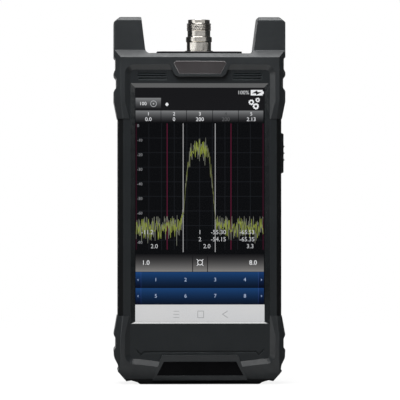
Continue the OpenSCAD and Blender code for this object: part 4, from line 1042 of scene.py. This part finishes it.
def floor_share(tree):
    """How much of the floor's look is white light and not its own tone.

    To the eye it grows with the distance from the object. In soft reflections it is whole on a card before
    the object's foot, whose edges fade, and nothing elsewhere.
    """
    ray = tree.nodes.new("ShaderNodeLightPath").outputs
    place = tree.nodes.new("ShaderNodeTexCoord").outputs["Object"]
    away = tree.nodes.new("ShaderNodeVectorMath")
    away.operation = "LENGTH"
    tree.links.new(place, away.inputs[0])
    split = tree.nodes.new("ShaderNodeSeparateXYZ")
    tree.links.new(place, split.inputs["Vector"])
    side = tree.nodes.new("ShaderNodeMath")
    side.operation = "ABSOLUTE"
    tree.links.new(split.outputs["X"], side.inputs[0])
    fade = mapped(tree, away.outputs["Value"], *GLOW_AWAY, *GLOW_SHARE)
    to_eye = combined(tree, "MULTIPLY", ray["Is Camera Ray"], fade)
    card = mapped(tree, split.outputs["Y"], *CARD_BACK_Y, 1, 0)
    card = combined(tree, "MULTIPLY", card, mapped(tree, split.outputs["Y"], *CARD_FRONT_Y, 0, 1))
    card = combined(tree, "MULTIPLY", card, mapped(tree, side.outputs["Value"], *CARD_SIDE_X, 1, 0))
    soft = mapped(tree, ray["Is Singular Ray"], 0, 1, 1, 0)
    soft = combined(tree, "MULTIPLY", in_reflections(tree, ray), soft)
    return combined(tree, "MAXIMUM", to_eye, combined(tree, "MULTIPLY", soft, card))


def stage_floor():
    """A pale floor that takes the object's shadow and throws back less light than it shows."""
    corners = np.array([(-1, -1, 0), (1, -1, 0), (1, 1, 0), (-1, 1, 0)]) * FLOOR_REACH / MM
    mesh = surface("floor", corners, [(0, 1, 2, 3)])
    material = bpy.data.materials.new("pale_floor")
    material.use_nodes = True
    tree = material.node_tree
    tree.nodes.clear()
    seen = tree.nodes.new("ShaderNodeLightPath").outputs["Is Camera Ray"]
    matt = tree.nodes.new("ShaderNodeBsdfDiffuse")
    tree.links.new(mapped(tree, seen, 0, 1, FLOOR_BOUNCE, FLOOR_TONE), matt.inputs["Color"])
    glow = tree.nodes.new("ShaderNodeEmission")
    mix = tree.nodes.new("ShaderNodeMixShader")
    tree.links.new(floor_share(tree), mix.inputs["Fac"])
    tree.links.new(matt.outputs["BSDF"], mix.inputs[1])
    tree.links.new(glow.outputs["Emission"], mix.inputs[2])
    out = tree.nodes.new("ShaderNodeOutputMaterial")
    tree.links.new(mix.outputs["Shader"], out.inputs["Surface"])
    mesh.materials.append(material)
    floor = bpy.data.objects.new("floor", mesh)
    bpy.context.scene.collection.objects.link(floor)


AMBIENT = 0.05
DIM = 0.05
BEHIND_Y = (0.94, 0.99)


def studio_world():
    """White to the eye; in reflections white behind the object and dim elsewhere; a little even light."""
    world = bpy.data.worlds.new("studio")
    bpy.context.scene.world = world
    world.use_nodes = True
    tree = world.node_tree
    tree.nodes.clear()
    ray = tree.nodes.new("ShaderNodeLightPath").outputs
    split = tree.nodes.new("ShaderNodeSeparateXYZ")
    way = tree.nodes.new("ShaderNodeTexCoord").outputs["Generated"]
    tree.links.new(way, split.inputs["Vector"])
    mirrored = tree.nodes.new("ShaderNodeMix")
    tree.links.new(in_reflections(tree, ray), mirrored.inputs["Factor"])
    mirrored.inputs["A"].default_value = AMBIENT
    tree.links.new(mapped(tree, split.outputs["Y"], *BEHIND_Y, DIM, 1), mirrored.inputs["B"])
    shown = tree.nodes.new("ShaderNodeMix")
    tree.links.new(ray["Is Camera Ray"], shown.inputs["Factor"])
    tree.links.new(mirrored.outputs["Result"], shown.inputs["A"])
    shown.inputs["B"].default_value = 1.0
    sky = tree.nodes.new("ShaderNodeBackground")
    sky.inputs["Color"].default_value = (1, 1, 1, 1)
    tree.links.new(shown.outputs["Result"], sky.inputs["Strength"])
    out = tree.nodes.new("ShaderNodeOutputWorld")
    tree.links.new(sky.outputs["Background"], out.inputs["Surface"])


def softbox(name, place, aim, size, watts, shows=True, lights=True):
    """A rectangular lamp at a place, turned to a point.

    One that doesn't show stays out of reflections, and one that doesn't light shows there only.
    """
    lamp = bpy.data.lights.new(name, "AREA")
    lamp.shape = "RECTANGLE"
    lamp.size, lamp.size_y = size
    lamp.energy = watts
    box = bpy.data.objects.new(name, lamp)
    bpy.context.scene.collection.objects.link(box)
    box.location = place
    box.visible_glossy = shows
    box.visible_transmission = shows
    box.visible_diffuse = lights
    away = np.array(aim, float) - np.array(place, float)
    box.rotation_mode = "QUATERNION"
    box.rotation_quaternion = Vector(away).to_track_quat("-Z", "Y")


JACK_LEVEL = 0.33


def studio_lights():
    """Lamps over, beside and before the object, two behind it, and two cards aimed at the jack that show
    only in reflections.
    """
    softbox("over_light", (-0.05, -0.06, 1.0), aim=(-0.05, -0.06, 0), size=(0.6, 0.6), watts=6.5)
    softbox("left_light", (-1.0, -0.38, 0.11), aim=(0, 0, 0.11), size=(0.5, 0.22), watts=0.8)
    softbox("front_fill", (-0.16, -0.5, 0.75), aim=(0, 0, 0.14), size=(0.5, 0.4), watts=6.8, shows=False)
    at_jack = (0, 0, JACK_LEVEL)
    left_card = (-0.86, -0.51, JACK_LEVEL)
    right_card = (0.26, -0.97, JACK_LEVEL)
    softbox("jack_card_left", left_card, aim=at_jack, size=(0.79, 0.18), watts=0.72, lights=False)
    softbox("jack_card_right", right_card, aim=at_jack, size=(2.3, 0.18), watts=1.2, lights=False)
    for name, x in (("back_light_left", -1.43), ("back_light_right", 1.43)):
        softbox(name, (x, 1.3, 0.65), aim=(0, 0, 0.12), size=(0.8, 0.8), watts=35, shows=False)


CAMERA_TURN = math.radians(-2)
CAMERA_AWAY = 2.4
CAMERA_SENSOR = 36
CAMERA_CLIP = 100
VIEW_WIDTH = 0.2584
AIM = np.array([0.0001, -0.018, 0.119])


def studio_camera():
    """Level and a little to the left of the screen's middle, far enough off to flatten the view."""
    lens = bpy.data.cameras.new("camera")
    lens.sensor_width = CAMERA_SENSOR
    lens.lens = CAMERA_SENSOR * CAMERA_AWAY / VIEW_WIDTH
    lens.clip_end = CAMERA_CLIP
    camera = bpy.data.objects.new("camera", lens)
    bpy.context.scene.collection.objects.link(camera)
    back = np.array([math.sin(CAMERA_TURN), -math.cos(CAMERA_TURN), 0.0])
    camera.location = AIM + CAMERA_AWAY * back
    camera.rotation_mode = "QUATERNION"
    camera.rotation_quaternion = Vector(-back).to_track_quat("-Z", "Y")
    bpy.context.scene.camera = camera


stage_floor()
studio_world()
studio_lights()
studio_camera()
bpy.context.scene.view_settings.view_transform = "Standard"
